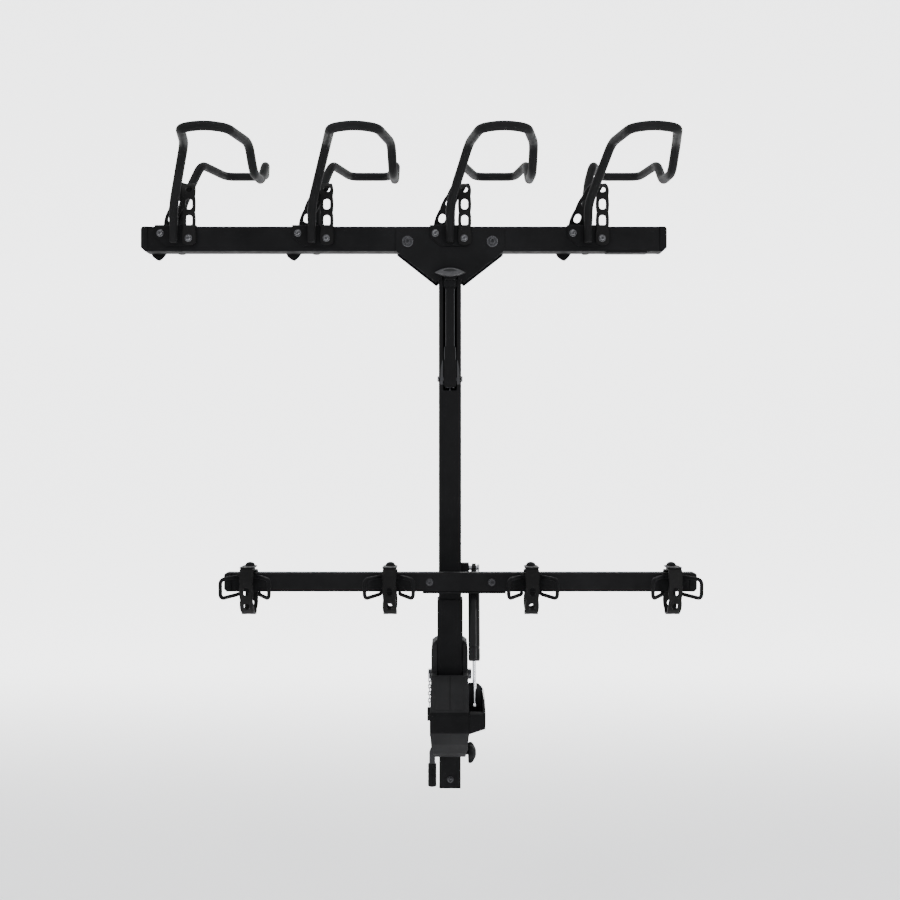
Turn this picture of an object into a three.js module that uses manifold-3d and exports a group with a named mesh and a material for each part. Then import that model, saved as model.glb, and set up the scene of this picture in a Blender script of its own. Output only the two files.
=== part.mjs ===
// Hanging bike rack for a 2 inch hitch: a tilting mast carries an upper bar with four wheel
// baskets and a lower bar with four wheel holders, and a damper slows the mast as it tilts back.
// Millimetres. Origin: centre of the shank's vehicle-side end face.
// +X right seen from behind the vehicle, +Y towards the vehicle, +Z up.
// Heights below are drawn from a base line under the shank, and the assembly is lowered at the end
// so that the shank's centre is at zero.
import * as THREE from 'three';
import { mergeVertices } from 'three/addons/utils/BufferGeometryUtils.js';
import Module from 'manifold-3d';

const wasm = await Module();
wasm.setup();

// ---- Driving dimensions ----------------------------------------------------------------------
const GAP = 0.3;                       // between pieces that touch
const PLATE = 3;                       // steel plate of the brackets and gussets

const BIKE_PITCH = 330;
const BIKES = 4;
const FIRST_CRADLE_X = -660;           // leg of the first wheel basket
const HOLDER_OFFSET = 190;             // a lower holder sits under the middle of its bike

const SHANK = { size: 50.8, wall: 5, back: -318, z: 28 };
const SHANK_BOTTOM = SHANK.z - SHANK.size / 2;
const PLUG = { flange: 6, depth: 22 };
const PIVOT = { y: -260, z: 262 };
const SLEEVE = { half: 30.5, wall: 3.2, bottom: 230, top: 445 };
const MAST = { half: 27, wall: 3, bottom: 300, top: 1282 };
const MAST_FRONT = PIVOT.y - MAST.half;
const MAST_BACK = PIVOT.y + MAST.half;

const UPPER_BAR = {
  x0: -743, x1: 521, depth: 40, bottom: 1282.4, height: 60, wall: 2.5, corner: 4, cut: [10, 9],
};
const LOWER_BAR = {
  x0: -528, x1: 577, front: -353, depth: 30, bottom: 474, height: 44, wall: 2.5, corner: 3, cut: [6, 6],
};
const CAP = { length: 18, round: 7, plug: 16 };

const BASKET_TUBE = 10.2;              // radius over the coating
const YOKE = { inner: 31.5, outer: 36 };
const HOUSING = { left: -45, right: 43, wall: 3 };
const POCKET = { outer: 80, wall: 3 };

const DAMPER = { x: 57.8, length: 324.8, cylinder: 222, cylinderR: 14, rodR: 5, strokeBore: 185 };
const DAMPER_TOP = { y: PIVOT.y, z: 519 };
const DAMPER_FOOT = { y: -339, z: 204 };

const LEVER_PIN = { y: -277, z: 976, r: 5 };
const LEVER_ARM_Y = -250;              // where the pull rod hangs on the lever
const GUSSET_BOLT = { x: 101.6, z: 1305, r: 5 };
const CAM = { r: 22, half: 7 };
const TILT = 50;                       // degrees of mast tilt, used for the second cam notch

// ---- Materials -------------------------------------------------------------------------------
function finish(color, roughness, metalness) {
  return new THREE.MeshStandardMaterial({ color, roughness, metalness });
}

const powderCoat = finish(0x141416, 0.45, 0.2);
const coatedTube = finish(0x111113, 0.6, 0);
const rubber = finish(0x101012, 0.75, 0);
const plastic = finish(0x232427, 0.6, 0);
const greyPlastic = finish(0x5a5b5e, 0.35, 0);
const zinc = finish(0x9a9ca0, 0.35, 0.9);
const chrome = finish(0xd8dadc, 0.12, 1);

// ---- Shape helpers ---------------------------------------------------------------------------
const Y_TO_X = new THREE.Matrix4().makeRotationZ(-Math.PI / 2);
const SIDE_VIEW = new THREE.Matrix4().makeBasis(
  new THREE.Vector3(0, 1, 0), new THREE.Vector3(0, 0, 1), new THREE.Vector3(1, 0, 0));
const FRONT_VIEW = new THREE.Matrix4().makeRotationX(Math.PI / 2);

function outline(points) {
  return new THREE.Shape(points.map(([a, b]) => new THREE.Vector2(a, b)));
}

// Rectangle with round corners, centred on the origin.
function roundedRect(width, height, radius) {
  const w = width / 2 - radius;
  const h = height / 2 - radius;
  const shape = new THREE.Shape();
  shape.absarc(w, h, radius, 0, Math.PI / 2);
  shape.absarc(-w, h, radius, Math.PI / 2, Math.PI);
  shape.absarc(-w, -h, radius, Math.PI, 1.5 * Math.PI);
  shape.absarc(w, -h, radius, 1.5 * Math.PI, 2 * Math.PI);
  return shape;
}

function extrude(shape, depth, curveSegments = 2) {
  return new THREE.ExtrudeGeometry(shape, { depth, bevelEnabled: false, curveSegments });
}

// A shape drawn in (Y, Z), from x0 to x1.
const sidePlate = (shape, x0, x1, curveSegments) =>
  extrude(shape, x1 - x0, curveSegments).applyMatrix4(SIDE_VIEW).translate(x0, 0, 0);

// A shape drawn in (X, Z), from y0 to y1.
const frontPlate = (shape, y0, y1, curveSegments) =>
  extrude(shape, y1 - y0, curveSegments).applyMatrix4(FRONT_VIEW).translate(0, y1, 0);

function box(x0, x1, y0, y1, z0, z1) {
  return new THREE.BoxGeometry(x1 - x0, y1 - y0, z1 - z0)
    .translate((x0 + x1) / 2, (y0 + y1) / 2, (z0 + z1) / 2);
}

// Cylinder along X, centred on (y, z).
const rodX = (radius, x0, x1, y, z, sides = 16) =>
  new THREE.CylinderGeometry(radius, radius, x1 - x0, sides)
    .applyMatrix4(Y_TO_X).translate((x0 + x1) / 2, y, z);

// Cylinder along Y, centred on (x, z).
const rodY = (radius, x, y0, y1, z, sides = 16) =>
  new THREE.CylinderGeometry(radius, radius, y1 - y0, sides).translate(x, (y0 + y1) / 2, z);

// Cylinder along Z, centred on (x, y).
const rodZ = (radius, x, y, z0, z1, sides = 12) =>
  new THREE.CylinderGeometry(radius, radius, z1 - z0, sides)
    .rotateX(Math.PI / 2).translate(x, y, (z0 + z1) / 2);

// A turned piece: profile of [radius, along] pairs, standing on the Y axis.
const turned = (profile, sides = 24) =>
  new THREE.LatheGeometry(profile.map(([r, a]) => new THREE.Vector2(r, a)), sides);

function manifoldOf(geometry) {
  const bare = geometry.clone();
  bare.deleteAttribute('normal');
  bare.deleteAttribute('uv');
  const merged = mergeVertices(bare, 1e-4);
  return new wasm.Manifold(new wasm.Mesh({
    numProp: 3,
    vertProperties: new Float32Array(merged.attributes.position.array),
    triVerts: new Uint32Array(merged.index.array),
  }));
}

function geometryOf(manifold) {
  const mesh = manifold.getMesh();
  const geometry = new THREE.BufferGeometry();
  geometry.setAttribute('position', new THREE.BufferAttribute(mesh.vertProperties, 3));
  geometry.setIndex(new THREE.BufferAttribute(mesh.triVerts, 1));
  return geometry;
}

// Joins the first list of geometries and cuts the second list out of them.
function shaped(added, removed = []) {
  let body = manifoldOf(added[0]);
  for (const extra of added.slice(1)) {
    body = body.add(manifoldOf(extra));
  }
  for (const tool of removed) {
    body = body.subtract(manifoldOf(tool));
  }
  return geometryOf(body);
}

function piece(name, geometry, material) {
  const mesh = new THREE.Mesh(geometry, material);
  mesh.name = name;
  return mesh;
}

// Straight runs joined by round corners of the given reach.
function bentPath(points, reach) {
  const corners = points.map((p) => new THREE.Vector3(...p));
  const path = new THREE.CurvePath();
  let from = corners[0];
  for (let i = 1; i < corners.length - 1; i += 1) {
    const back = corners[i - 1].clone().sub(corners[i]);
    const ahead = corners[i + 1].clone().sub(corners[i]);
    const cut = Math.min(reach, back.length() / 2.2, ahead.length() / 2.2);
    const enter = corners[i].clone().add(back.setLength(cut));
    const leave = corners[i].clone().add(ahead.setLength(cut));
    path.add(new THREE.LineCurve3(from, enter));
    path.add(new THREE.QuadraticBezierCurve3(enter, corners[i], leave));
    from = leave;
  }
  path.add(new THREE.LineCurve3(from, corners[corners.length - 1]));
  return path;
}

function circle(radius, sides) {
  const points = [];
  for (let i = 0; i < sides; i += 1) {
    const angle = (2 * Math.PI * i) / sides;
    points.push([radius * Math.cos(angle), radius * Math.sin(angle)]);
  }
  return outline(points);
}

function bentTube(points, radius, reach, steps, sides = 8) {
  return new THREE.ExtrudeGeometry(circle(radius, sides), {
    steps,
    bevelEnabled: false,
    extrudePath: bentPath(points, reach),
  });
}

// A flat band that follows a curve, with its width kept along X as far as it can be.
function band(points, width, thickness, steps) {
  const curve = new THREE.CatmullRomCurve3(points.map((p) => new THREE.Vector3(...p)), false, 'centripetal');
  const geometry = new THREE.BoxGeometry(width, thickness, 1, 1, 1, steps);
  const position = geometry.attributes.position;
  for (let i = 0; i < position.count; i += 1) {
    const along = position.getZ(i) + 0.5;
    const tangent = curve.getTangentAt(along);
    const side = new THREE.Vector3(1, 0, 0);
    side.addScaledVector(tangent, -side.dot(tangent)).normalize();
    const normal = tangent.clone().cross(side);
    const place = curve.getPointAt(along);
    place.addScaledVector(side, position.getX(i));
    place.addScaledVector(normal, position.getY(i));
    position.setXYZ(i, place.x, place.y, place.z);
  }
  return geometry;
}

// Rectangular tube along X.
function barTube(x0, x1, y, z, depth, height, corner, wall) {
  const outer = sidePlate(roundedRect(depth, height, corner), x0, x1).translate(0, y, z);
  const inner = sidePlate(roundedRect(depth - 2 * wall, height - 2 * wall, 1), x0 - 1, x1 + 1);
  return { outer, inner: inner.translate(0, y, z) };
}

// Square tube along Z, centred on the mast line.
function mastTube(half, wall, z0, z1, corner) {
  const size = 2 * half;
  const outer = extrude(roundedRect(size, size, corner), z1 - z0).translate(0, PIVOT.y, z0);
  const inner = extrude(roundedRect(size - 2 * wall, size - 2 * wall, 1), z1 - z0 + 2);
  return { outer, inner: inner.translate(0, PIVOT.y, z0 - 1) };
}

// ---- Hitch shank, yoke and housing -------------------------------------------------------------
const PIN = { y: -75, r: 8, left: -46.5, right: 60, handle: 98, gripR: 11 };
const HEAD = { half: 31.2, front: -250, neck: 84, top: 112, endWall: 8 };

function hitchShank() {
  const half = SHANK.size / 2;
  const hole = half - SHANK.wall;
  const outer = box(-half, half, SHANK.back, -PLUG.flange - GAP, SHANK_BOTTOM, SHANK.z + half);
  const neck = box(-half, half, SHANK.back, HEAD.front, SHANK_BOTTOM, HEAD.neck + 1);
  const head = box(-HEAD.half, HEAD.half, SHANK.back + 6, HEAD.front, HEAD.neck, HEAD.top);
  const bore = box(-hole, hole, SHANK.back + HEAD.endWall, 1, SHANK.z - hole, SHANK.z + hole);
  const pinHole = rodX(PIN.r + GAP, -half - 1, half + 1, PIN.y, SHANK.z);
  return piece('hitch_shank', shaped([outer, neck, head], [bore, pinHole]), powderCoat);
}

function shankPlug() {
  const half = SHANK.size / 2;
  const inside = half - SHANK.wall - GAP;
  const flange = box(-half, half, -PLUG.flange, 0, -half, half);
  const body = box(-inside, inside, -PLUG.depth, -PLUG.flange / 2, -inside, inside);
  const mesh = piece('shank_end_plug', shaped([flange, body]), plastic);
  mesh.position.z = SHANK.z;
  return mesh;
}

const YOKE_OUTLINE = [
  [-284, 262], [-278, 279], [-266, 285.5], [-254, 285.5], [-242, 279], [-236, 262],
  [-232, 130], [HEAD.front, 64], [SHANK.back + 6, HEAD.neck], [SHANK.back + 6, 120], [-300, 200],
];

function yoke(name, x0, x1) {
  const plate = sidePlate(outline(YOKE_OUTLINE), x0, x1);
  const hole = rodX(8 + GAP, x0 - 1, x1 + 1, PIVOT.y, PIVOT.z);
  return piece(name, shaped([plate], [hole]), powderCoat);
}

const HOUSING_OUTLINE = [
  [-288, 272], [-288, 336], [-276, 348], [-222, 348], [-206, 325], [-203, 240], [-210, 150],
  [-224, 102], [-250, 82], [-290, 76], [-340, 84], [-386, 106], [-420, 137], [-438, 168],
  [-438, 206], [-430, 214], [-322, 271.5],
];
const SAFETY_KNOB = { y: -300, z: 175, r: 14 };
const TENSION_KNOB = { x: 43.6, y: -284, z: 78, r: 25, length: 19 };

// The outline moved inwards by a wall thickness, for the hollow of a shell.
function inset(points, distance) {
  const centre = [0, 1].map((k) => points.reduce((sum, p) => sum + p[k] / points.length, 0));
  return points.map((point, i) => {
    const before = points[(i + points.length - 1) % points.length];
    const after = points[(i + 1) % points.length];
    const edge = new THREE.Vector2(after[0] - before[0], after[1] - before[1]).normalize();
    let normal = new THREE.Vector2(-edge.y, edge.x);
    const towards = new THREE.Vector2(centre[0] - point[0], centre[1] - point[1]);
    if (normal.dot(towards) < 0) {
      normal = normal.negate();
    }
    return [point[0] + normal.x * distance, point[1] + normal.y * distance];
  });
}

// Half of the two-part cover, from the seam at x = 0 out to its side wall.
function housing(name, side) {
  const wallX = side < 0 ? HOUSING.left : HOUSING.right;
  const seam = side * GAP / 2;
  const inner = wallX - side * HOUSING.wall;
  const span = (a, b) => [Math.min(a, b), Math.max(a, b)];
  const [x0, x1] = span(seam, wallX);
  const [c0, c1] = span(-side, inner);
  const [s0, s1] = span(-side, side * (SLEEVE.half + 0.8));
  const shell = sidePlate(outline(HOUSING_OUTLINE), x0, x1);
  const hollow = sidePlate(outline(inset(HOUSING_OUTLINE, HOUSING.wall)), c0, c1);
  const mastSlot = box(s0, s1, -320, -222, 236, 400);
  const footSlot = box(...span(-side, side * 37.5), -336, -226, 60, 140);
  const boltHole = rodX(9, wallX - 6, wallX + 6, PIVOT.y, PIVOT.z);
  const cuts = [hollow, mastSlot, footSlot, boltHole];
  if (side < 0) {
    cuts.push(rodX(6, wallX - 6, wallX + 6, SAFETY_KNOB.y, SAFETY_KNOB.z));
  } else {
    const { y, z } = TENSION_KNOB;
    cuts.push(box(wallX - 6, wallX + 6, y - 8, y + 8, z - 20, z + 8));
  }
  return piece(name, shaped([shell], cuts), plastic);
}

const POCKET_OUTLINE = [
  [-315, 250], [-315, 178], [-330, 160], [-366, 150], [-408, 152], [-432, 164], [-438, 180],
  [-434, 210],
];

function damperPocket() {
  const x0 = HOUSING.right + GAP;
  const shell = sidePlate(outline(POCKET_OUTLINE), x0, POCKET.outer);
  const hollow = outline([
    [-318, 300], [-318, 179], [-332, 163], [-366, 153], [-407, 155], [-429.5, 166], [-435, 181],
    [-431, 300],
  ]);
  const cut = sidePlate(hollow, x0 - 1, POCKET.outer - POCKET.wall);
  return piece('damper_pocket', shaped([shell], [cut]), plastic);
}

function pivotBolt() {
  const shaft = rodX(8, -50, 53, PIVOT.y, PIVOT.z);
  const head = rodX(13, -53, HOUSING.left - GAP, PIVOT.y, PIVOT.z, 6);
  return piece('pivot_bolt', shaped([shaft, head]), zinc);
}

function pivotNut() {
  const nut = rodX(13, HOUSING.right + GAP, 52, PIVOT.y, PIVOT.z, 6);
  const bore = rodX(8 + GAP, HOUSING.right - 1, 54, PIVOT.y, PIVOT.z);
  return piece('pivot_nut', shaped([nut], [bore]), zinc);
}

// Notched disc on the pivot bolt; the latch plunger drops into a notch at each end of the tilt.
function latchCam() {
  const disc = rodX(CAM.r, -CAM.half, CAM.half, PIVOT.y, PIVOT.z, 24);
  const bore = rodX(8 + GAP, -CAM.half - 1, CAM.half + 1, PIVOT.y, PIVOT.z);
  const notches = [0, TILT].map((degrees) => box(-CAM.half - 1, CAM.half + 1, -5, 5, CAM.r - 6, CAM.r + 3)
    .rotateX(THREE.MathUtils.degToRad(degrees)).translate(0, PIVOT.y, PIVOT.z));
  return piece('latch_cam', shaped([disc], [bore, ...notches]), zinc);
}

// A hand knob, turned about X and pointing to the left.
function handKnob(radius, length, stemRadius, stemLength, sides) {
  const knob = turned([
    [0, -stemLength], [stemRadius, -stemLength], [stemRadius, 0], [radius * 0.8, 0],
    [radius, length * 0.2], [radius, length * 0.75], [radius * 0.82, length], [0, length],
  ], sides);
  return knob.rotateZ(Math.PI / 2);
}

function tensionKnob() {
  const { r, length, x } = TENSION_KNOB;
  const stem = x - YOKE.outer - GAP;
  const knob = turned([
    [0, -stem], [5, -stem], [5, 0], [r - 3, 0], [r, 3], [r, 7], [r * 0.78, length * 0.72],
    [r * 0.42, length * 0.95], [0, length],
  ], 20).rotateZ(-Math.PI / 2);
  const mesh = piece('tension_knob', knob, plastic);
  mesh.position.set(TENSION_KNOB.x, TENSION_KNOB.y, TENSION_KNOB.z);
  return mesh;
}

function safetyKnob() {
  const x = HOUSING.left - GAP;
  const stem = -YOKE.outer - x - GAP;
  const knob = handKnob(SAFETY_KNOB.r, 9, 4, stem, 16);
  const wing = box(x - 9, x - 1, -4, 4, -SAFETY_KNOB.r - 2, SAFETY_KNOB.r + 2);
  knob.translate(x, 0, 0);
  const mesh = piece('safety_knob', shaped([knob, wing]), plastic);
  mesh.position.set(0, SAFETY_KNOB.y, SAFETY_KNOB.z);
  return mesh;
}

function tetherChain() {
  const x = HOUSING.left - 4.5;
  const route = [[x, -274, 262], [x, -281, 250], [x, -284, 226], [x, -291, 206], [x, -297, 194]];
  return piece('tether_chain', bentTube(route, 2.4, 8, 14, 6), zinc);
}

function hitchPin() {
  const route = [
    [PIN.left, PIN.y, SHANK.z - PIN.handle], [PIN.left, PIN.y, SHANK.z], [PIN.right, PIN.y, SHANK.z],
  ];
  const rod = bentTube(route, PIN.r, 14, 16, 10);
  const grip = rodZ(PIN.gripR, PIN.left, PIN.y, SHANK.z - PIN.handle - 2, SHANK.z - 42, 14);
  return piece('hitch_pin', shaped([rod, grip]), zinc);
}

// ---- Mast, release lever and latch -----------------------------------------------------------
const WINDOW = { half: 16.5, bottom: 948, top: 1224 };

function lowerSleeve() {
  const tube = mastTube(SLEEVE.half, SLEEVE.wall, SLEEVE.bottom, SLEEVE.top, 4);
  const bore = rodX(8.5, -SLEEVE.half - 1, SLEEVE.half + 1, PIVOT.y, PIVOT.z);
  return piece('lower_sleeve', shaped([tube.outer], [tube.inner, bore]), powderCoat);
}

function mastPost() {
  const tube = mastTube(MAST.half, MAST.wall, MAST.bottom, MAST.top, 3);
  const opening = box(-WINDOW.half, WINDOW.half, MAST_FRONT - 1, MAST_FRONT + 6, WINDOW.bottom, WINDOW.top);
  const pinHole = rodX(LEVER_PIN.r + GAP, -MAST.half - 1, MAST.half + 1, LEVER_PIN.y, LEVER_PIN.z);
  const studHole = rodX(6 + GAP, MAST.half - 6, MAST.half + 1, DAMPER_TOP.y, DAMPER_TOP.z);
  return piece('mast_tube', shaped([tube.outer], [tube.inner, opening, pinHole, studHole]), powderCoat);
}

const GUSSET = { half: 130, tip: 33, tipZ: 1206.5, barTop: 1338 };
const BRACKET = { left: -48.5, right: 49.4, bottom: 1294, leftCut: 1316 };

// V plate between the bar and the mast, with a notch for the bracket that sits over it.
function gussetOutline(notchZ) {
  const left = BRACKET.left - 1;
  const right = BRACKET.right + 1;
  return outline([
    [-GUSSET.half, GUSSET.barTop], [-GUSSET.half, UPPER_BAR.bottom], [-GUSSET.tip, GUSSET.tipZ],
    [-MAST.half, GUSSET.tipZ + 7], [MAST.half, GUSSET.tipZ + 7], [GUSSET.tip, GUSSET.tipZ],
    [GUSSET.half, UPPER_BAR.bottom], [GUSSET.half, GUSSET.barTop], [right, GUSSET.barTop],
    [right, notchZ], [left, notchZ], [left, GUSSET.barTop],
  ]);
}

const boltHoles = (y0, y1) => [-1, 1].map((side) =>
  rodY(GUSSET_BOLT.r + GAP, side * GUSSET_BOLT.x, y0, y1, GUSSET_BOLT.z));

function gussetFront() {
  const y1 = MAST_FRONT - GAP;
  const plate = frontPlate(gussetOutline(1290), y1 - PLATE, y1);
  const slot = box(-WINDOW.half - 2, WINDOW.half + 2, y1 - 10, y1 + 1, 1190, WINDOW.top);
  return piece('gusset_front', shaped([plate], [slot, ...boltHoles(y1 - 10, y1 + 1)]), powderCoat);
}

function gussetRear() {
  const y0 = MAST_BACK + GAP;
  const barBack = MAST_FRONT + UPPER_BAR.depth + GAP;
  const plate = frontPlate(gussetOutline(1283), y0, y0 + PLATE);
  const bosses = [-1, 1].map((side) => rodY(12, side * GUSSET_BOLT.x, barBack, y0 + 1, GUSSET_BOLT.z));
  return piece('gusset_rear', shaped([plate, ...bosses], boltHoles(barBack - 5, y0 + 10)), powderCoat);
}

function gussetBolt(name, side) {
  const x = side * GUSSET_BOLT.x;
  const front = MAST_FRONT - GAP - PLATE - GAP;
  const shaft = rodY(GUSSET_BOLT.r, x, front - 2, MAST_BACK + 12, GUSSET_BOLT.z);
  const washer = rodY(12.5, x, front - 2, front, GUSSET_BOLT.z);
  const head = rodY(8.5, x, front - 8, front - 1, GUSSET_BOLT.z, 12);
  return piece(name, shaped([shaft, washer, head]), zinc);
}

function leverPin() {
  const shaft = rodX(LEVER_PIN.r, -MAST.half - 3, MAST.half + 3, LEVER_PIN.y, LEVER_PIN.z);
  const heads = [-1, 1].map((side) => {
    const inner = side * (MAST.half + GAP);
    const outer = side * (MAST.half + 3.5);
    return rodX(7, Math.min(inner, outer), Math.max(inner, outer), LEVER_PIN.y, LEVER_PIN.z);
  });
  return piece('lever_pin', shaped([shaft, ...heads]), zinc);
}

// Lens-shaped lip that the hand pulls, drawn in (X, Z).
function gripOutline() {
  const shape = new THREE.Shape();
  shape.moveTo(-35.5, 1230);
  shape.quadraticCurveTo(0, 1251, 35.5, 1230);
  shape.quadraticCurveTo(0, 1212, -35.5, 1230);
  return shape;
}

function releaseLever() {
  const front = MAST_FRONT - 1.5;
  const back = MAST_FRONT + 11;
  const foot = box(-15.2, 15.2, front, back, 962, 1050);
  const footEnd = rodX(12.5 / 2, -15.2, 15.2, (front + back) / 2, 962, 12);
  const blade = box(-11.5, 11.5, front, back, 1045, 1200);
  const head = box(-15.5, 15.5, front - 4, back, 1195, 1222);
  const neck = box(-12, 12, front - 9, front - 3, 1212, 1232);
  const grip = frontPlate(gripOutline(), front - 22, front - 4, 10);
  const root = box(-5, 5, back - 2, back + 12, LEVER_PIN.z - 9, LEVER_PIN.z + 9);
  const arm = box(-5, 5, back + 10, LEVER_ARM_Y + 5, LEVER_PIN.z - 5, LEVER_PIN.z + 5);
  const crossPin = rodX(2.5, -8.5, 8.5, LEVER_ARM_Y, LEVER_PIN.z, 12);
  const hole = rodX(LEVER_PIN.r + GAP, -20, 20, LEVER_PIN.y, LEVER_PIN.z);
  const added = [foot, footEnd, blade, head, neck, grip, root, arm, crossPin];
  return piece('release_lever', shaped(added, [hole]), greyPlastic);
}

// Rod inside the mast: a fork round the lever's arm above, the latch plunger below.
function pullRod() {
  const y = LEVER_ARM_Y;
  const camTop = PIVOT.z + CAM.r + 0.6;
  const rod = rodZ(3, 0, y, camTop + 20, LEVER_PIN.z - 14);
  const fork = box(-11, 11, y - 7, y + 7, LEVER_PIN.z - 20, LEVER_PIN.z + 8);
  const throat = box(-5.6, 5.6, y - 9, y + 9, LEVER_PIN.z - 12, LEVER_PIN.z + 10);
  const pinSlot = rodX(3.6, -13, 13, y, LEVER_PIN.z, 12);
  const plunger = box(-6, 6, y - 14, y + 5, camTop, camTop + 40);
  return piece('pull_rod', shaped([rod, fork, plunger], [throat, pinSlot]), zinc);
}

// ---- Damper ----------------------------------------------------------------------------------
// Built upright with its top eye at the origin and hung by turning it onto the line of its pins.
const DAMPER_ANGLE = Math.atan2(DAMPER_FOOT.y - DAMPER_TOP.y, DAMPER_TOP.z - DAMPER_FOOT.z);

function hung(mesh) {
  mesh.position.set(DAMPER.x, DAMPER_TOP.y, DAMPER_TOP.z);
  mesh.rotation.x = DAMPER_ANGLE;
  return mesh;
}

function damperCylinder() {
  const eye = rodX(11, -5, 5, 0, 0);
  const neck = rodZ(7, 0, 0, -24, -6);
  const tube = rodZ(DAMPER.cylinderR, 0, 0, -DAMPER.cylinder, -20, 16);
  const pinHole = rodX(6 + GAP, -6, 6, 0, 0);
  const bore = rodZ(DAMPER.rodR + GAP, 0, 0, -DAMPER.cylinder - 1, -DAMPER.cylinder + DAMPER.strokeBore);
  return hung(piece('damper_cylinder', shaped([eye, neck, tube], [pinHole, bore]), powderCoat));
}

function damperRod() {
  const rod = rodZ(DAMPER.rodR, 0, 0, -DAMPER.length + 4, -130);
  const eye = rodX(11, -7, 7, 0, -DAMPER.length);
  const hole = rodX(5 + GAP, -8, 8, 0, -DAMPER.length);
  return hung(piece('damper_rod', shaped([rod, eye], [hole]), chrome));
}

function damperAnchorPin() {
  return hung(piece('damper_anchor_pin', rodX(5, -11, 13, 0, -DAMPER.length), zinc));
}

function damperStud() {
  const block = box(MAST.half + GAP, 46, DAMPER_TOP.y - 14, DAMPER_TOP.y + 14, 506, 531);
  const pin = rodX(6, MAST.half - 4, 70, DAMPER_TOP.y, DAMPER_TOP.z);
  const cap = rodX(9, 66, 71, DAMPER_TOP.y, DAMPER_TOP.z);
  return piece('damper_stud', shaped([block, pin, cap]), powderCoat);
}

// ---- Bars ------------------------------------------------------------------------------------
const upperBarY = MAST_FRONT + UPPER_BAR.depth / 2;
const upperBarZ = UPPER_BAR.bottom + UPPER_BAR.height / 2;
const lowerBarY = LOWER_BAR.front + LOWER_BAR.depth / 2;
const lowerBarZ = LOWER_BAR.bottom + LOWER_BAR.height / 2;

function bar(name, spec, y, z, holes) {
  const start = spec.x0 + CAP.length + GAP;
  const end = spec.x1 - CAP.length - GAP;
  const tube = barTube(start, end, y, z, spec.depth, spec.height, spec.corner, spec.wall);
  return piece(name, shaped([tube.outer], [tube.inner, ...holes]), powderCoat);
}

// End cap: round at the top corner, cut off slantwise at the bottom one, with a plug inside the tube.
function barCap(name, spec, y, z, side) {
  const end = side < 0 ? spec.x0 : spec.x1;
  const bottom = z - spec.height / 2;
  const top = z + spec.height / 2;
  const [cutX, cutZ] = spec.cut;
  const at = (inwards, height) => [end - side * inwards, height];
  const shell = frontPlate(outline([
    at(CAP.length, top), at(CAP.round, top), at(CAP.round * 0.3, top - CAP.round * 0.3),
    at(0, top - CAP.round), at(0, bottom + cutZ), at(cutX, bottom), at(CAP.length, bottom),
  ]), y - spec.depth / 2, y + spec.depth / 2);
  const inner = end - side * (CAP.length - 1);
  const tip = end - side * (CAP.length + CAP.plug);
  const inside = 2 * (spec.wall + GAP);
  const plug = sidePlate(
    roundedRect(spec.depth - inside, spec.height - inside, 1.5), Math.min(inner, tip), Math.max(inner, tip));
  return piece(name, shaped([shell, plug.translate(0, y, z)]), plastic);
}

// Cradle for the lower bar: a channel bolted round the front of the mast.
function lowerBarBracket() {
  const barBack = LOWER_BAR.front + LOWER_BAR.depth;
  const back = box(-64, 130.5, barBack + GAP, barBack + 4, 470, 516);
  const lip = box(-64, 130.5, LOWER_BAR.front, barBack + 4, 470, LOWER_BAR.bottom - GAP);
  const block = box(-30.5, 30.5, barBack + 2, MAST_FRONT - GAP, 472, 504);
  const ears = [-1, 1].map((side) => {
    const inner = side * (MAST.half + GAP);
    const outer = side * (MAST.half + 3.5);
    return box(Math.min(inner, outer), Math.max(inner, outer), MAST_FRONT - 8, PIVOT.y + 16, 472, 504);
  });
  return piece('lower_bar_bracket', shaped([back, lip, block, ...ears]), powderCoat);
}

// ---- Upper cradle: saddle bracket, basket and strap. x = 0 is the basket's leg ----------------
const legFront = MAST_FRONT - 2 * GAP - PLATE - BASKET_TUBE;
const legBack = MAST_FRONT + UPPER_BAR.depth + 2 * GAP + PLATE + BASKET_TUBE;
const BASKET_ROUTE = [
  [0, legFront, 1300], [0, legFront, 1390],
  [44.6, -374, 1515.6], [67.4, -494, 1512], [118.9, -494, 1518.5], [170.4, -494, 1512],
  [193.9, -374, 1515.6],
  [195, -319, 1461], [194.5, -225, 1468],
  [193.7, -158, 1526.6], [170.4, -37, 1529], [67.7, -37, 1529], [31.6, -158, 1526.6],
  [16.4, -182, 1477], [2, legBack, 1400], [2, legBack, 1285],
];
const STRAP = { width: 32, thickness: 4 };
const STRAP_ROUTE = [
  [35, -293, 1296], [35, -293, 1340], [35, -293, 1400], [34.5, -291.5, 1430],
  [29, -280, 1444], [15, -266, 1432], [1, -258, 1410], [-12, -251, 1386], [-22, -244, 1363],
  [-28, -239, 1345], [-34, -238.3, 1326], [-42, -238.3, 1306], [-51, -239, 1288],
  [-62, -240.5, 1273.5],
];

function saddleBracket(name) {
  const y0 = MAST_FRONT - GAP - PLATE;
  const y1 = MAST_FRONT + UPPER_BAR.depth + GAP + PLATE;
  const top = UPPER_BAR.bottom + UPPER_BAR.height + GAP;
  const face = outline([
    [BRACKET.left, top + PLATE], [BRACKET.left, BRACKET.leftCut], [-22, BRACKET.bottom],
    [BRACKET.right - 10, BRACKET.bottom], [BRACKET.right, BRACKET.bottom + 10], [BRACKET.right, top + PLATE],
  ]);
  const front = frontPlate(face, y0, y0 + PLATE);
  const back = frontPlate(face, y1 - PLATE, y1);
  const roof = box(BRACKET.left, BRACKET.right, y0, y1, top, top + PLATE);
  return piece(name, shaped([front, back, roof]), powderCoat);
}

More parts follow.
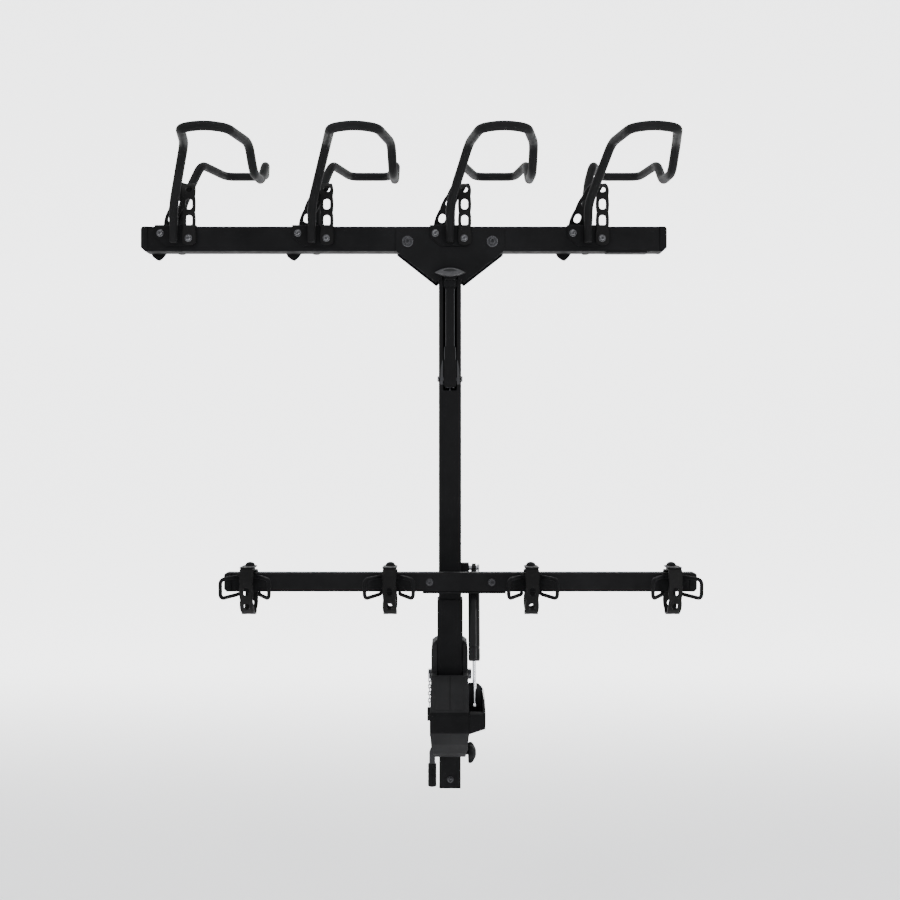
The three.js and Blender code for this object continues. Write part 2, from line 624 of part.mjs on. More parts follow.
function cradle(number) {
  const group = new THREE.Group();
  group.position.x = FIRST_CRADLE_X + (number - 1) * BIKE_PITCH;
  group.add(saddleBracket(`saddle_bracket_${number}`));
  group.add(piece(`wheel_basket_${number}`, bentTube(BASKET_ROUTE, BASKET_TUBE, 34, 54), coatedTube));
  group.add(piece(`wheel_strap_${number}`, band(STRAP_ROUTE, STRAP.width, STRAP.thickness, 22), rubber));
  return group;
}

// ---- Lower holder: wire wings, looped strap and knob. x = 0 is its middle ---------------------
const barTop = LOWER_BAR.bottom + LOWER_BAR.height;
const WIRE = 4;
const WIRE_HALF_ROUTE = [
  [12, LOWER_BAR.front - GAP - WIRE, barTop - 8], [24, LOWER_BAR.front - GAP - WIRE, barTop - 8],
  [55.7, -401, 508], [55.7, -399, 464], [24, -356, 468.5], [22, -338, 469.2],
];
const LOOP_ROUTE = [
  [0, -348, barTop + 4], [0, -366, barTop + 10], [0, -379, barTop + 10], [0, -384, 508], [0, -383, 478],
  [0, -377, 446], [0, -362, 427], [0, -346, 423], [0, -330, 429], [0, -321, 448], [0, -319, 474],
  [0, -319, 508], [0, -319.5, 517], [0, -324, barTop + 3.8], [0, -332, barTop + 4], [0, -341, barTop + 4],
];

function holder(number) {
  const group = new THREE.Group();
  group.position.x = FIRST_CRADLE_X + HOLDER_OFFSET + (number - 1) * BIKE_PITCH;
  const mirrored = WIRE_HALF_ROUTE.map(([x, y, z]) => [-x, y, z]).reverse();
  const wire = bentTube([...mirrored, ...WIRE_HALF_ROUTE], WIRE, 12, 40, 6);
  group.add(piece(`holder_wire_${number}`, wire, powderCoat));
  const loop = band(LOOP_ROUTE, STRAP.width, STRAP.thickness, 30);
  group.add(piece(`holder_strap_${number}`, loop, rubber));
  const dome = turned([[0, 0], [9, 0], [11.5, 3], [11.5, 7], [9, 12], [5, 15], [0, 16]], 14)
    .rotateX(Math.PI / 2);
  const knob = piece(`holder_knob_${number}`, dome, plastic);
  knob.position.set(0, -336, barTop + 4 + STRAP.thickness / 2 + GAP);
  group.add(knob);
  return group;
}

// ---- Assembly --------------------------------------------------------------------------------
const assembly = new THREE.Group();
assembly.position.z = -SHANK.z;
assembly.add(
  hitchShank(), shankPlug(),
  yoke('yoke_left', -YOKE.outer, -YOKE.inner), yoke('yoke_right', YOKE.inner, YOKE.outer),
  housing('housing_left', -1), housing('housing_right', 1), damperPocket(),
  pivotBolt(), pivotNut(), latchCam(), tensionKnob(), safetyKnob(), tetherChain(), hitchPin(),
);
assembly.add(
  lowerSleeve(), mastPost(), gussetFront(), gussetRear(),
  gussetBolt('gusset_bolt_left', -1), gussetBolt('gusset_bolt_right', 1),
  leverPin(), releaseLever(), pullRod(),
);
assembly.add(damperStud(), damperCylinder(), damperRod(), damperAnchorPin());
const upperBarHoles = boltHoles(MAST_FRONT - 5, MAST_FRONT + UPPER_BAR.depth + 5);
assembly.add(
  bar('upper_bar', UPPER_BAR, upperBarY, upperBarZ, upperBarHoles),
  barCap('upper_bar_cap_left', UPPER_BAR, upperBarY, upperBarZ, -1),
  barCap('upper_bar_cap_right', UPPER_BAR, upperBarY, upperBarZ, 1),
  bar('lower_bar', LOWER_BAR, lowerBarY, lowerBarZ, []),
  barCap('lower_bar_cap_left', LOWER_BAR, lowerBarY, lowerBarZ, -1),
  barCap('lower_bar_cap_right', LOWER_BAR, lowerBarY, lowerBarZ, 1),
  lowerBarBracket(),
);
for (let number = 1; number <= BIKES; number += 1) {
  assembly.add(cradle(number), holder(number));
}

const rack = new THREE.Group();
rack.add(assembly);

export default rack;
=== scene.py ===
import math

import bmesh
import bpy
from mathutils import Matrix, Vector


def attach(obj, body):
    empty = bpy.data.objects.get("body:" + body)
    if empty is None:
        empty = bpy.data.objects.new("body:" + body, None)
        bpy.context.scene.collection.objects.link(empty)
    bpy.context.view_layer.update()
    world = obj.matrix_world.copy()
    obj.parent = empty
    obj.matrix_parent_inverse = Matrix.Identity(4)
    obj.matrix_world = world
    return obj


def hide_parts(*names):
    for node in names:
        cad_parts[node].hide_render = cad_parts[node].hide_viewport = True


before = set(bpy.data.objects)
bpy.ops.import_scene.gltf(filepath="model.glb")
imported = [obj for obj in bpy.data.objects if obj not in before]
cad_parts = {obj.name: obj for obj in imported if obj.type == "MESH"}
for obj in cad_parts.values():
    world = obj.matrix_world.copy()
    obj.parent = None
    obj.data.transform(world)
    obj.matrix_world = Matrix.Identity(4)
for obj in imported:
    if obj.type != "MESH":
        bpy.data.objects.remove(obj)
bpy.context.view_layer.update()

# Every piece is drawn in millimetres, from the same base line as the CAD, 28 mm under the shank's
# centre, and TO_FRAME takes it into the frame's metres.
MM = 0.001
BASE_LINE = 28
TO_FRAME = Matrix.Scale(MM, 4) @ Matrix.Translation((0, 0, -BASE_LINE))

# ---- Driving dimensions, as in the CAD ---------------------------------------------------------
GAP = 0.3
PLATE = 3
CRADLE_X = (-660, -330, 0, 330)
HOLDER_X = (-470, -140, 190, 520)

PIVOT = (-260, 262)
MAST_HALF = 27
MAST_FRONT = -287
MAST_BACK = -233
SLEEVE_HALF = 30.5
GUSSET_FRONT = MAST_FRONT - GAP - PLATE
GUSSET_BOLT = (101.6, 1305)

UPPER_BAR = {
    "x": (-743, 521), "y": (-287, -247), "z": (1282.4, 1342.4), "corner": 4, "cut": (10, 9),
}
LOWER_BAR = {
    "x": (-528, 577), "y": (-353, -323), "z": (474, 518), "corner": 3, "cut": (6, 6),
}
BAR_WALL = 2.5
CAP_LENGTH = 18
BAR_TOP = LOWER_BAR["z"][1]

DAMPER_TOP = (57.8, -260, 519)
DAMPER_FOOT = (57.8, -339, 204)
DAMPER_LENGTH = 324.8
LEVER_PIN = (-277, 976)
SAFETY_KNOB = (-45.3, -300, 175)
TENSION_KNOB = (43.6, -284, 78)
HITCH_PIN = {"y": -75, "left": -46.5, "right": 60, "handle": 98, "radius": 8}


# ---- Outlines ----------------------------------------------------------------------------------
def rounded(corners, steps=6):
    """Outline of corners (a, b, radius), each rounded by its radius."""
    points = []
    for i, (a, b, radius) in enumerate(corners):
        here = Vector((a, b))
        if radius <= 0:
            points.append(tuple(here))
            continue
        back = Vector(corners[i - 1][:2]) - here
        ahead = Vector(corners[(i + 1) % len(corners)][:2]) - here
        half = back.angle(ahead) / 2
        reach = min(radius / math.tan(half), back.length * 0.49, ahead.length * 0.49)
        halfway = (back.normalized() + ahead.normalized()).normalized()
        middle = here + halfway * reach / math.cos(half)
        start = here + back.normalized() * reach - middle
        end = here + ahead.normalized() * reach - middle
        first = math.atan2(start.y, start.x)
        turn = (math.atan2(end.y, end.x) - first + math.pi) % (2 * math.pi) - math.pi
        for k in range(steps + 1):
            angle = first + turn * k / steps
            points.append((middle.x + start.length * math.cos(angle),
                           middle.y + start.length * math.sin(angle)))
    return points


def rectangle(a0, a1, b0, b1, radius, steps=6):
    """Outline of a rectangle with rounded corners."""
    return rounded([(a0, b0, radius), (a1, b0, radius), (a1, b1, radius), (a0, b1, radius)], steps)


def ring(a, b, radius, sides=48):
    """Outline of a circle round (a, b)."""
    return [(a + radius * math.cos(2 * math.pi * k / sides),
             b + radius * math.sin(2 * math.pi * k / sides)) for k in range(sides)]


def inset(corners, distance):
    """The corners of an outline moved inwards by a wall thickness."""
    centre = sum((Vector(c[:2]) for c in corners), Vector((0, 0))) / len(corners)
    moved = []
    for i, (a, b, radius) in enumerate(corners):
        here = Vector((a, b))
        edge = Vector(corners[(i + 1) % len(corners)][:2]) - Vector(corners[i - 1][:2])
        inwards = edge.orthogonal().normalized()
        if inwards.dot(centre - here) < 0:
            inwards.negate()
        moved.append((a + inwards.x * distance, b + inwards.y * distance, radius))
    return moved


# ---- Mesh builders, each giving a bmesh in millimetres -----------------------------------------
# An outline is drawn in (X, Z) from the front, in (Y, Z) from the side and in (X, Y) from the top.
FACING = {
    "front": Matrix(((1, 0, 0, 0), (0, 0, -1, 0), (0, 1, 0, 0), (0, 0, 0, 1))),
    "side": Matrix(((0, 0, 1, 0), (1, 0, 0, 0), (0, 1, 0, 0), (0, 0, 0, 1))),
    "top": Matrix.Identity(4),
}
WELD_MM = 0.002
CUT_MM = 0.0005


def plate(loops, facing, low, high, bevel=0.0):
    """Flat body with the outline loops[0], holes loops[1:], and its edges rounded by bevel."""
    curve = bpy.data.curves.new("outline", "CURVE")
    curve.dimensions = "2D"
    curve.fill_mode = "BOTH"
    curve.extrude = (high - low) / 2 - bevel
    curve.bevel_depth = bevel
    curve.bevel_resolution = 2
    curve.offset = -bevel
    for loop in loops:
        spline = curve.splines.new("POLY")
        spline.points.add(len(loop) - 1)
        spline.use_cyclic_u = True
        for point, (a, b) in zip(spline.points, loop):
            point.co = (a, b, 0, 1)
    holder = bpy.data.objects.new("outline", curve)
    mesh = bpy.data.meshes.new_from_object(holder)
    bm = bmesh.new()
    bm.from_mesh(mesh)
    bpy.data.objects.remove(holder)
    bpy.data.curves.remove(curve)
    bpy.data.meshes.remove(mesh)
    bmesh.ops.remove_doubles(bm, verts=bm.verts, dist=WELD_MM)
    half_way = (low + high) / 2
    middle = {"front": (0, half_way, 0), "side": (half_way, 0, 0), "top": (0, 0, half_way)}[facing]
    bmesh.ops.transform(bm, matrix=Matrix.Translation(middle) @ FACING[facing], verts=bm.verts)
    bmesh.ops.recalc_face_normals(bm, faces=bm.faces)
    return bm


def block(x, y, z, bevel=1.0):
    """Rectangular body between pairs of coordinates, with rounded edges."""
    return plate([rectangle(x[0], x[1], z[0], z[1], bevel, 3)], "front", y[0], y[1], bevel)


def skin(bm, rows):
    """Faces between closed rows of points, with the first and last rows capped."""
    for lower, upper in zip(rows, rows[1:]):
        for k in range(len(lower)):
            j = (k + 1) % len(lower)
            bm.faces.new((lower[k], lower[j], upper[j], upper[k]))
    bm.faces.new(list(reversed(rows[0])))
    bm.faces.new(rows[-1])


def revolve(profile, steps=48, shape=None):
    """Turned body round Z: profile of (radius, height, kind) rows, with shape(kind, angle, r)."""
    bm = bmesh.new()
    rows = []
    for radius, height, *kind in profile:
        row = []
        for k in range(steps):
            angle = 2 * math.pi * k / steps
            r = shape(kind[0], angle, radius) if kind and shape else radius
            row.append(bm.verts.new((r * math.cos(angle), r * math.sin(angle), height)))
        rows.append(row)
    skin(bm, rows)
    bmesh.ops.remove_doubles(bm, verts=bm.verts, dist=WELD_MM)
    bmesh.ops.recalc_face_normals(bm, faces=bm.faces)
    return bm


def aimed(bm, origin, direction):
    """Turns a body drawn along +Z to a direction and puts its foot at origin."""
    turn = Vector(direction).to_track_quat("Z", "Y").to_matrix().to_4x4()
    bmesh.ops.transform(bm, matrix=Matrix.Translation(origin) @ turn, verts=bm.verts)
    return bm


def bent_path(points, reach, steps=14, stride=12):
    """Straight runs joined by round corners, as a dense list of points."""
    corners = [Vector(p) for p in points]
    path = [corners[0]]

    def run(to):
        count = max(1, int((to - path[-1]).length / stride))
        start = path[-1]
        path.extend(start.lerp(to, k / count) for k in range(1, count + 1))

    for before, here, after in zip(corners, corners[1:], corners[2:]):
        back, ahead = before - here, after - here
        cut = min(reach, back.length / 2.2, ahead.length / 2.2)
        enter = here + back.normalized() * cut
        leave = here + ahead.normalized() * cut
        run(enter)
        for k in range(1, steps + 1):
            t = k / steps
            path.append(enter * (1 - t) ** 2 + here * 2 * t * (1 - t) + leave * t ** 2)
    run(corners[-1])
    return path


def tube(path, radius, sides=28, end_round=1.0):
    """Round tube along a path, with its two ends slightly rounded. radius may be a function."""
    radius_at = radius if callable(radius) else (lambda point: radius)
    bm = bmesh.new()
    tangents = [(b - a).normalized() for a, b in zip(path, path[1:])]
    tangents = [tangents[0]] + [(a + b).normalized() for a, b in zip(tangents, tangents[1:])]
    tangents.append((path[-1] - path[-2]).normalized())
    normal = tangents[0].orthogonal().normalized()
    stations = [(path[0], tangents[0], 1 - end_round / radius_at(path[0]))]
    stations += [(p, t, 1.0) for p, t in zip(path, tangents)]
    stations[1] = (path[0] + tangents[0] * end_round, tangents[0], 1.0)
    stations[-1] = (path[-1] - tangents[-1] * end_round, tangents[-1], 1.0)
    stations.append((path[-1], tangents[-1], 1 - end_round / radius_at(path[-1])))
    rows = []
    for point, tangent, share in stations:
        normal = (normal - tangent * normal.dot(tangent)).normalized()
        other = tangent.cross(normal)
        r = radius_at(point) * share
        rows.append([bm.verts.new(point + (normal * math.cos(a) + other * math.sin(a)) * r)
                     for a in (2 * math.pi * k / sides for k in range(sides))])
    skin(bm, rows)
    return bm


def smooth_curve(points, steps=16):
    """Centripetal Catmull-Rom curve through points, as the CAD's bands follow."""
    knots = [Vector(p) for p in points]
    knots = [knots[0] * 2 - knots[1]] + knots + [knots[-1] * 2 - knots[-2]]
    path = []
    for p0, p1, p2, p3 in zip(knots, knots[1:], knots[2:], knots[3:]):
        t0 = 0.0
        t1 = t0 + (p1 - p0).length ** 0.5
        t2 = t1 + (p2 - p1).length ** 0.5
        t3 = t2 + (p3 - p2).length ** 0.5
        for k in range(steps):
            t = t1 + (t2 - t1) * k / steps
            a1 = p0 * ((t1 - t) / (t1 - t0)) + p1 * ((t - t0) / (t1 - t0))
            a2 = p1 * ((t2 - t) / (t2 - t1)) + p2 * ((t - t1) / (t2 - t1))
            a3 = p2 * ((t3 - t) / (t3 - t2)) + p3 * ((t - t2) / (t3 - t2))
            b1 = a1 * ((t2 - t) / (t2 - t0)) + a2 * ((t - t0) / (t2 - t0))
            b2 = a2 * ((t3 - t) / (t3 - t1)) + a3 * ((t - t1) / (t3 - t1))
            path.append(b1 * ((t2 - t) / (t2 - t1)) + b2 * ((t - t1) / (t2 - t1)))
    path.append(knots[-2])
    return path


def lengths(path):
    """How far along the path each of its points lies."""
    total = [0.0]
    for a, b in zip(path, path[1:]):
        total.append(total[-1] + (b - a).length)
    return total


def wrapped(bm, path, stride=3.0):
    """Bends a flat body drawn in (across, along) round a path, its width kept along X."""
    marks = lengths(path)
    count = int(marks[-1] / stride)
    for k in range(1, count):
        everything = bm.verts[:] + bm.edges[:] + bm.faces[:]
        bmesh.ops.bisect_plane(bm, geom=everything, dist=CUT_MM,
                               plane_co=(0, marks[-1] * k / count, 0), plane_no=(0, 1, 0))
    for vert in bm.verts:
        across, along, out = vert.co
        along = min(max(along, 0.0), marks[-1])
        i = max(k for k in range(len(marks) - 1) if marks[k] <= along or k == 0)
        share = (along - marks[i]) / (marks[i + 1] - marks[i])
        place = path[i].lerp(path[i + 1], share)
        first = (path[i + 1] - path[max(i - 1, 0)]).normalized()
        last = (path[min(i + 2, len(path) - 1)] - path[i]).normalized()
        tangent = first.lerp(last, share).normalized()
        side = Vector((1, 0, 0))
        side = (side - tangent * side.dot(tangent)).normalized()
        vert.co = place + side * across + tangent.cross(side) * out
    bmesh.ops.recalc_face_normals(bm, faces=bm.faces)
    return bm


def placed(name, bm):
    """A new object in the scene that holds a body."""
    mesh = bpy.data.meshes.new(name)
    bm.to_mesh(mesh)
    bm.free()
    obj = bpy.data.objects.new(name, mesh)
    bpy.context.scene.collection.objects.link(obj)
    return obj


def cut(bm, *tools):
    """Takes closed bodies out of a closed body."""
    target = placed("target", bm)
    others = [placed("tool", tool) for tool in tools]
    for other in others:
        modifier = target.modifiers.new("cut", "BOOLEAN")
        modifier.operation = "DIFFERENCE"
        modifier.solver = "EXACT"
        modifier.object = other
    bpy.context.view_layer.update()
    mesh = bpy.data.meshes.new_from_object(
        target.evaluated_get(bpy.context.evaluated_depsgraph_get()))
    result = bmesh.new()
    result.from_mesh(mesh)
    for obj in [target, *others]:
        bpy.data.meshes.remove(obj.data)
    bpy.data.meshes.remove(mesh)
    return result


def sliced(bm, point, normal):
    """Removes what lies past a plane, and closes the cut."""
    everything = bm.verts[:] + bm.edges[:] + bm.faces[:]
    result = bmesh.ops.bisect_plane(bm, geom=everything, plane_co=point, plane_no=normal,
                                    clear_outer=True, dist=CUT_MM)
    edges = [g for g in result["geom_cut"] if isinstance(g, bmesh.types.BMEdge)]
    bmesh.ops.edgenet_fill(bm, edges=edges)
    bmesh.ops.recalc_face_normals(bm, faces=bm.faces)
    return bm


def joined(*bodies):
    """Several bodies as one mesh."""
    result = bmesh.new()
    for bm in bodies:
        mesh = bpy.data.meshes.new("part")
        bm.to_mesh(mesh)
        bm.free()
        result.from_mesh(mesh)
        bpy.data.meshes.remove(mesh)
    return result


# ---- Materials ---------------------------------------------------------------------------------
BROAD_SCALE, BROAD_DETAIL = 9, 4
GRAIN_DETAIL = 3
PATCH_SCALE, PATCH_DETAIL = 55, 5
GRAIN_DEPTH = 0.0004
DUST = (0.16, 0.155, 0.15)


def surface(name, colour, roughness, metallic=0.0, tone=0.25, grain=900, bump=0.15, spread=0.08,
            edge_highlight=None, coat=0.0, stretch=(1, 1, 1), dust=0.0, specular=0.3):
    """Procedural finish: broad colour variation, patchy roughness, grain, painted edge highlights and
    dust.
    """
    material = bpy.data.materials.new(name)
    material.use_nodes = True
    nodes, links = material.node_tree.nodes, material.node_tree.links
    shader = nodes["Principled BSDF"]
    shader.inputs["Metallic"].default_value = metallic
    shader.inputs["Specular IOR Level"].default_value = specular
    shader.inputs["Coat Weight"].default_value = coat
    shader.inputs["Coat Roughness"].default_value = 0.25
    coordinates = nodes.new("ShaderNodeTexCoord")
    mapping = nodes.new("ShaderNodeMapping")
    mapping.inputs["Scale"].default_value = stretch
    links.new(coordinates.outputs["Object"], mapping.inputs["Vector"])

    def noise(scale, detail):
        node = nodes.new("ShaderNodeTexNoise")
        node.inputs["Scale"].default_value = scale
        node.inputs["Detail"].default_value = detail
        links.new(mapping.outputs["Vector"], node.inputs["Vector"])
        return node.outputs["Fac"]

    def remap(value, low, high, start=0.3, end=0.7):
        node = nodes.new("ShaderNodeMapRange")
        node.inputs["From Min"].default_value = start
        node.inputs["From Max"].default_value = end
        node.inputs["To Min"].default_value = low
        node.inputs["To Max"].default_value = high
        links.new(value, node.inputs["Value"])
        return node.outputs["Result"]

    def mixed(factor, first, second):
        node = nodes.new("ShaderNodeMix")
        node.data_type = "RGBA"
        links.new(factor, node.inputs["Factor"])
        for socket, value in ((node.inputs["A"], first), (node.inputs["B"], second)):
            if isinstance(value, tuple):
                socket.default_value = (*value, 1)
            else:
                links.new(value, socket)
        return node.outputs["Result"]

    darker = tuple(c * (1 - tone) for c in colour)
    lighter = tuple(min(1, c * (1 + tone)) for c in colour)
    tint = mixed(remap(noise(BROAD_SCALE, BROAD_DETAIL), 0, 1), darker, lighter)
    if dust:
        up = nodes.new("ShaderNodeNewGeometry")
        split = nodes.new("ShaderNodeSeparateXYZ")
        links.new(up.outputs["Normal"], split.inputs["Vector"])
        lying = remap(split.outputs["Z"], 0, dust, 0.3, 1.0)
        tint = mixed(lying, tint, DUST)
    # Sharp edges, found by their pointiness, are lightened as a painted highlight.
    if edge_highlight:
        edge = nodes.new("ShaderNodeNewGeometry")
        tint = mixed(remap(edge.outputs["Pointiness"], 0, 0.55, 0.53, 0.6), tint, edge_highlight)
    links.new(tint, shader.inputs["Base Color"])
    patches = noise(PATCH_SCALE, PATCH_DETAIL)
    links.new(remap(patches, roughness - spread, roughness + spread), shader.inputs["Roughness"])
    relief = nodes.new("ShaderNodeBump")
    relief.inputs["Strength"].default_value = bump
    relief.inputs["Distance"].default_value = GRAIN_DEPTH
    links.new(noise(grain, GRAIN_DETAIL), relief.inputs["Height"])
    links.new(relief.outputs["Normal"], shader.inputs["Normal"])
    return material


POWDER = surface("powder_coat", (0.0078, 0.0078, 0.0082), 0.66, grain=1300, bump=0.22,
                 specular=0.05)
COATED = surface("coated_tube", (0.0095, 0.0095, 0.0098), 0.62, grain=2200, bump=0.3,
                 specular=0.065)
RUBBER = surface("strap_rubber", (0.0068, 0.0066, 0.0066), 0.56, grain=1700, bump=0.35,
                 dust=0.02, tone=0.35, specular=0.09)
HOUSING = surface("housing_plastic", (0.019, 0.019, 0.0195), 0.66, grain=1500, bump=0.5,
                  specular=0.025)
BAND = surface("housing_band", (0.006, 0.006, 0.0063), 0.6, grain=1500, bump=0.4,
               specular=0.05)
# Lighter plastic for thin pieces that paint light and highlights onto the mast and the pocket.
PAINTED_LIGHT = surface("painted_light_plastic", (0.036, 0.036, 0.038), 0.5, grain=1500, bump=0.3, specular=0.1)
CAP = surface("cap_plastic", (0.009, 0.009, 0.0095), 0.6, grain=1600, bump=0.45, specular=0.05)
LEVER = surface("lever_plastic", (0.046, 0.046, 0.048), 0.32, grain=1200, bump=0.12, specular=0.3)
BLADE = surface("blade_plastic", (0.0062, 0.0062, 0.0065), 0.36, grain=1400, bump=0.2,
                specular=0.08)
PAD = surface("lever_pad", (0.018, 0.018, 0.0185), 0.5, grain=1500, bump=0.5, specular=0.12)
ZINC = surface("zinc_hardware", (0.42, 0.425, 0.44), 0.3, metallic=1.0, grain=700, bump=0.12,
               tone=0.15, specular=0.5)
# Both kinds of bolt have their sharp edges lightened as painted highlights.
BRIGHT_BOLT = surface("bolt_steel", (0.075, 0.075, 0.08), 0.24, metallic=0.9, grain=900, bump=0.1,
                      edge_highlight=(0.4, 0.4, 0.41), specular=0.5)
DARK_BOLT = surface("black_hardware", (0.02, 0.02, 0.022), 0.28, metallic=0.6, grain=900,
                    bump=0.1, edge_highlight=(0.16, 0.16, 0.17), specular=0.4)
CHAIN = surface("bright_chain", (0.72, 0.72, 0.74), 0.2, metallic=1.0, grain=600, bump=0.06,
                tone=0.1, specular=0.5)
CHROME = surface("chrome_rod", (0.9, 0.91, 0.93), 0.2, metallic=1.0, grain=500, bump=0.02,
                 spread=0.03, tone=0.05, stretch=(6, 6, 0.5), specular=0.5)
GLOSS = surface("damper_paint", (0.0055, 0.0055, 0.006), 0.14, grain=600, bump=0.03, specular=0.16,
                coat=0.08)


# ---- Turning bodies into pieces of the rack ----------------------------------------------------
def smooth(mesh, angle):
    """Smooth shading, with edges sharper than an angle kept crisp."""
    mesh.polygons.foreach_set("use_smooth", [True] * len(mesh.polygons))
    mesh.set_sharp_from_angle(angle=math.radians(angle))


def soften(obj, width):
    """Rounds the edges of a piece by a width in millimetres."""
    modifier = obj.modifiers.new("rounded_edges", "BEVEL")
    modifier.width = width * MM
    modifier.segments = 3
    modifier.limit_method = "ANGLE"
    modifier.angle_limit = math.radians(40)
    modifier.harden_normals = True


def weight_normals(obj):
    """Keeps flat faces flat beside their rounded edges."""
    modifier = obj.modifiers.new("weighted", "WEIGHTED_NORMAL")
    modifier.keep_sharp = True


def piece(name, bm, body, material, nodes=(), angle=34, bevel=0.0):
    """A body drawn in millimetres becomes a piece that rides with a CAD body."""
    bmesh.ops.transform(bm, matrix=TO_FRAME, verts=bm.verts)
    obj = placed(name, bm)
    smooth(obj.data, angle)
    obj.data.materials.append(material)
    if bevel:
        soften(obj, bevel)
    weight_normals(obj)
    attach(obj, body)
    if nodes:
        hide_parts(*nodes)


def carried_over(name, material, width):
    """A CAD node that is shown as it is, with softened edges and a finish."""
    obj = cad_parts[name]
    obj.data.materials.clear()
    obj.data.materials.append(material)
    weld = obj.modifiers.new("weld", "WELD")
    weld.merge_threshold = 0.02 * MM
    soften(obj, width)
    weight_normals(obj)


def faceted(kind, angle, radius):
    """Six flats for the rows marked hex, and shallow waves for those marked wave."""
    if kind == "hex":
        return radius * math.cos(math.pi / 6) / math.cos(angle % (math.pi / 3) - math.pi / 6)
    if kind == "wave":
        return radius * (1 + 0.045 * math.cos(8 * angle))
    return radius


def bolt(name, place, body, washer, head, rise, material=DARK_BOLT, socket=3.2):
    """Button head bolt with a hex socket, standing on a washer and facing the front."""
    base = revolve([(0, 0), (washer - 0.5, 0), (washer, 0.5), (washer, 1.5), (washer - 0.5, 2),
                    (0, 2)])
    top = 2 + rise
    profile = [(0, 1.8), (head, 1.8), (head, top - rise * 0.5), (head * 0.9, top - rise * 0.2),
               (head * 0.66, top), (socket + 0.4, top), (socket, top - 0.4, "hex"),
               (socket, top - rise * 0.55, "hex"), (0, top - rise * 0.6)]
    both = joined(base, revolve(profile, 48, faceted))
    piece(name, aimed(both, place, (0, -1, 0)), body, material, angle=40)


# ---- Bars and their caps -----------------------------------------------------------------------
def bar(name, spec):
    """Rectangular tube across the rack, with a cap at each end that is cut at its lower corner."""
    (x0, x1), (y0, y1), (z0, z1) = spec["x"], spec["y"], spec["z"]
    outer = rectangle(y0, y1, z0, z1, spec["corner"], 8)
    inner = rectangle(y0 + BAR_WALL, y1 - BAR_WALL, z0 + BAR_WALL, z1 - BAR_WALL, 1.5)
    ends = CAP_LENGTH + GAP
    piece(f"{name}_tube", plate([outer, inner], "side", x0 + ends, x1 - ends), "mast", POWDER,
          [name])
    for side, end in ((-1, x0), (1, x1)):
        label = "left" if side < 0 else "right"
        cut_x, cut_z = spec["cut"]
        inwards = end - side * CAP_LENGTH
        outline = rounded([
            (inwards, z1, 0.5), (end, z1, 7), (end, z0 + cut_z, 3), (end - side * cut_x, z0, 3),
            (inwards, z0, 0.5),
        ])
        piece(f"{name}_end_{label}", plate([outline], "front", y0, y1, 1.6), "mast", POWDER,
              [f"{name}_cap_{label}"])


bar("upper_bar", UPPER_BAR)
bar("lower_bar", LOWER_BAR)
piece("upper_bar_pad", block((376, 474), (-286.5, -262), (1278.6, 1282.8), 1), "mast", CAP)


# ---- Mast, sleeve and gussets ------------------------------------------------------------------
def square_tube(half, wall, corner, z0, z1):
    """Upright square tube round the mast's centre line."""
    y = PIVOT[0]
    outer = rectangle(-half, half, y - half, y + half, corner, 8)
    inside = half - wall
    inner = rectangle(-inside, inside, y - inside, y + inside, 1.5)
    return plate([outer, inner], "top", z0, z1)


window = plate([rectangle(-16.5, 16.5, 948, 1224, 3)], "front", MAST_FRONT - 2, MAST_FRONT + 6)
piece("mast", cut(square_tube(MAST_HALF, 3, 3.5, 300, 1282), window), "mast", POWDER,
      ["mast_tube"])
piece("sleeve", square_tube(SLEEVE_HALF, 3.2, 4.5, 230, 445), "mast", POWDER,
      ["lower_sleeve"], bevel=0.6)


def gusset(notch):
    """V plate between the bar and the mast, with a notch (x, z, radius) round the bracket."""
    half = [(-130, 1338, 7), (-130, 1282.4, 4), (-33, 1206.5, 3.5), (-27, 1213.5, 1.5)]
    mouth = [(-18.5, 1213.5, 1), (-18.5, 1224, 3), (18.5, 1224, 3), (18.5, 1213.5, 1)]
    mirrored = [(-x, z, r) for x, z, r in reversed(half)]
    return rounded(half + mouth + mirrored + notch)


front_notch = [(50.4, 1338, 2), (50.4, 1303.6, 1), (39.8, 1293, 1), (-22.4, 1293, 1),
               (-49.5, 1315.5, 1), (-49.5, 1338, 2)]
rear_notch = [(50.4, 1338, 2), (50.4, 1283, 3), (-49.5, 1283, 3), (-49.5, 1338, 2)]
front = plate([gusset(front_notch)], "front", GUSSET_FRONT, MAST_FRONT - GAP, 0.6)
piece("gusset_plate_front", front, "mast", POWDER, ["gusset_front"])
boss = [(0, 0), (12, 0), (12, 14), (0, 14)]
BOSS_Y = -246.7
bosses = [aimed(revolve(boss), (side * GUSSET_BOLT[0], BOSS_Y, GUSSET_BOLT[1]), (0, 1, 0))
          for side in (-1, 1)]
rear = plate([gusset(rear_notch)], "front", MAST_BACK + GAP, MAST_BACK + GAP + PLATE, 0.6)
piece("gusset_plate_rear", joined(rear, *bosses), "mast", POWDER, ["gusset_rear"])

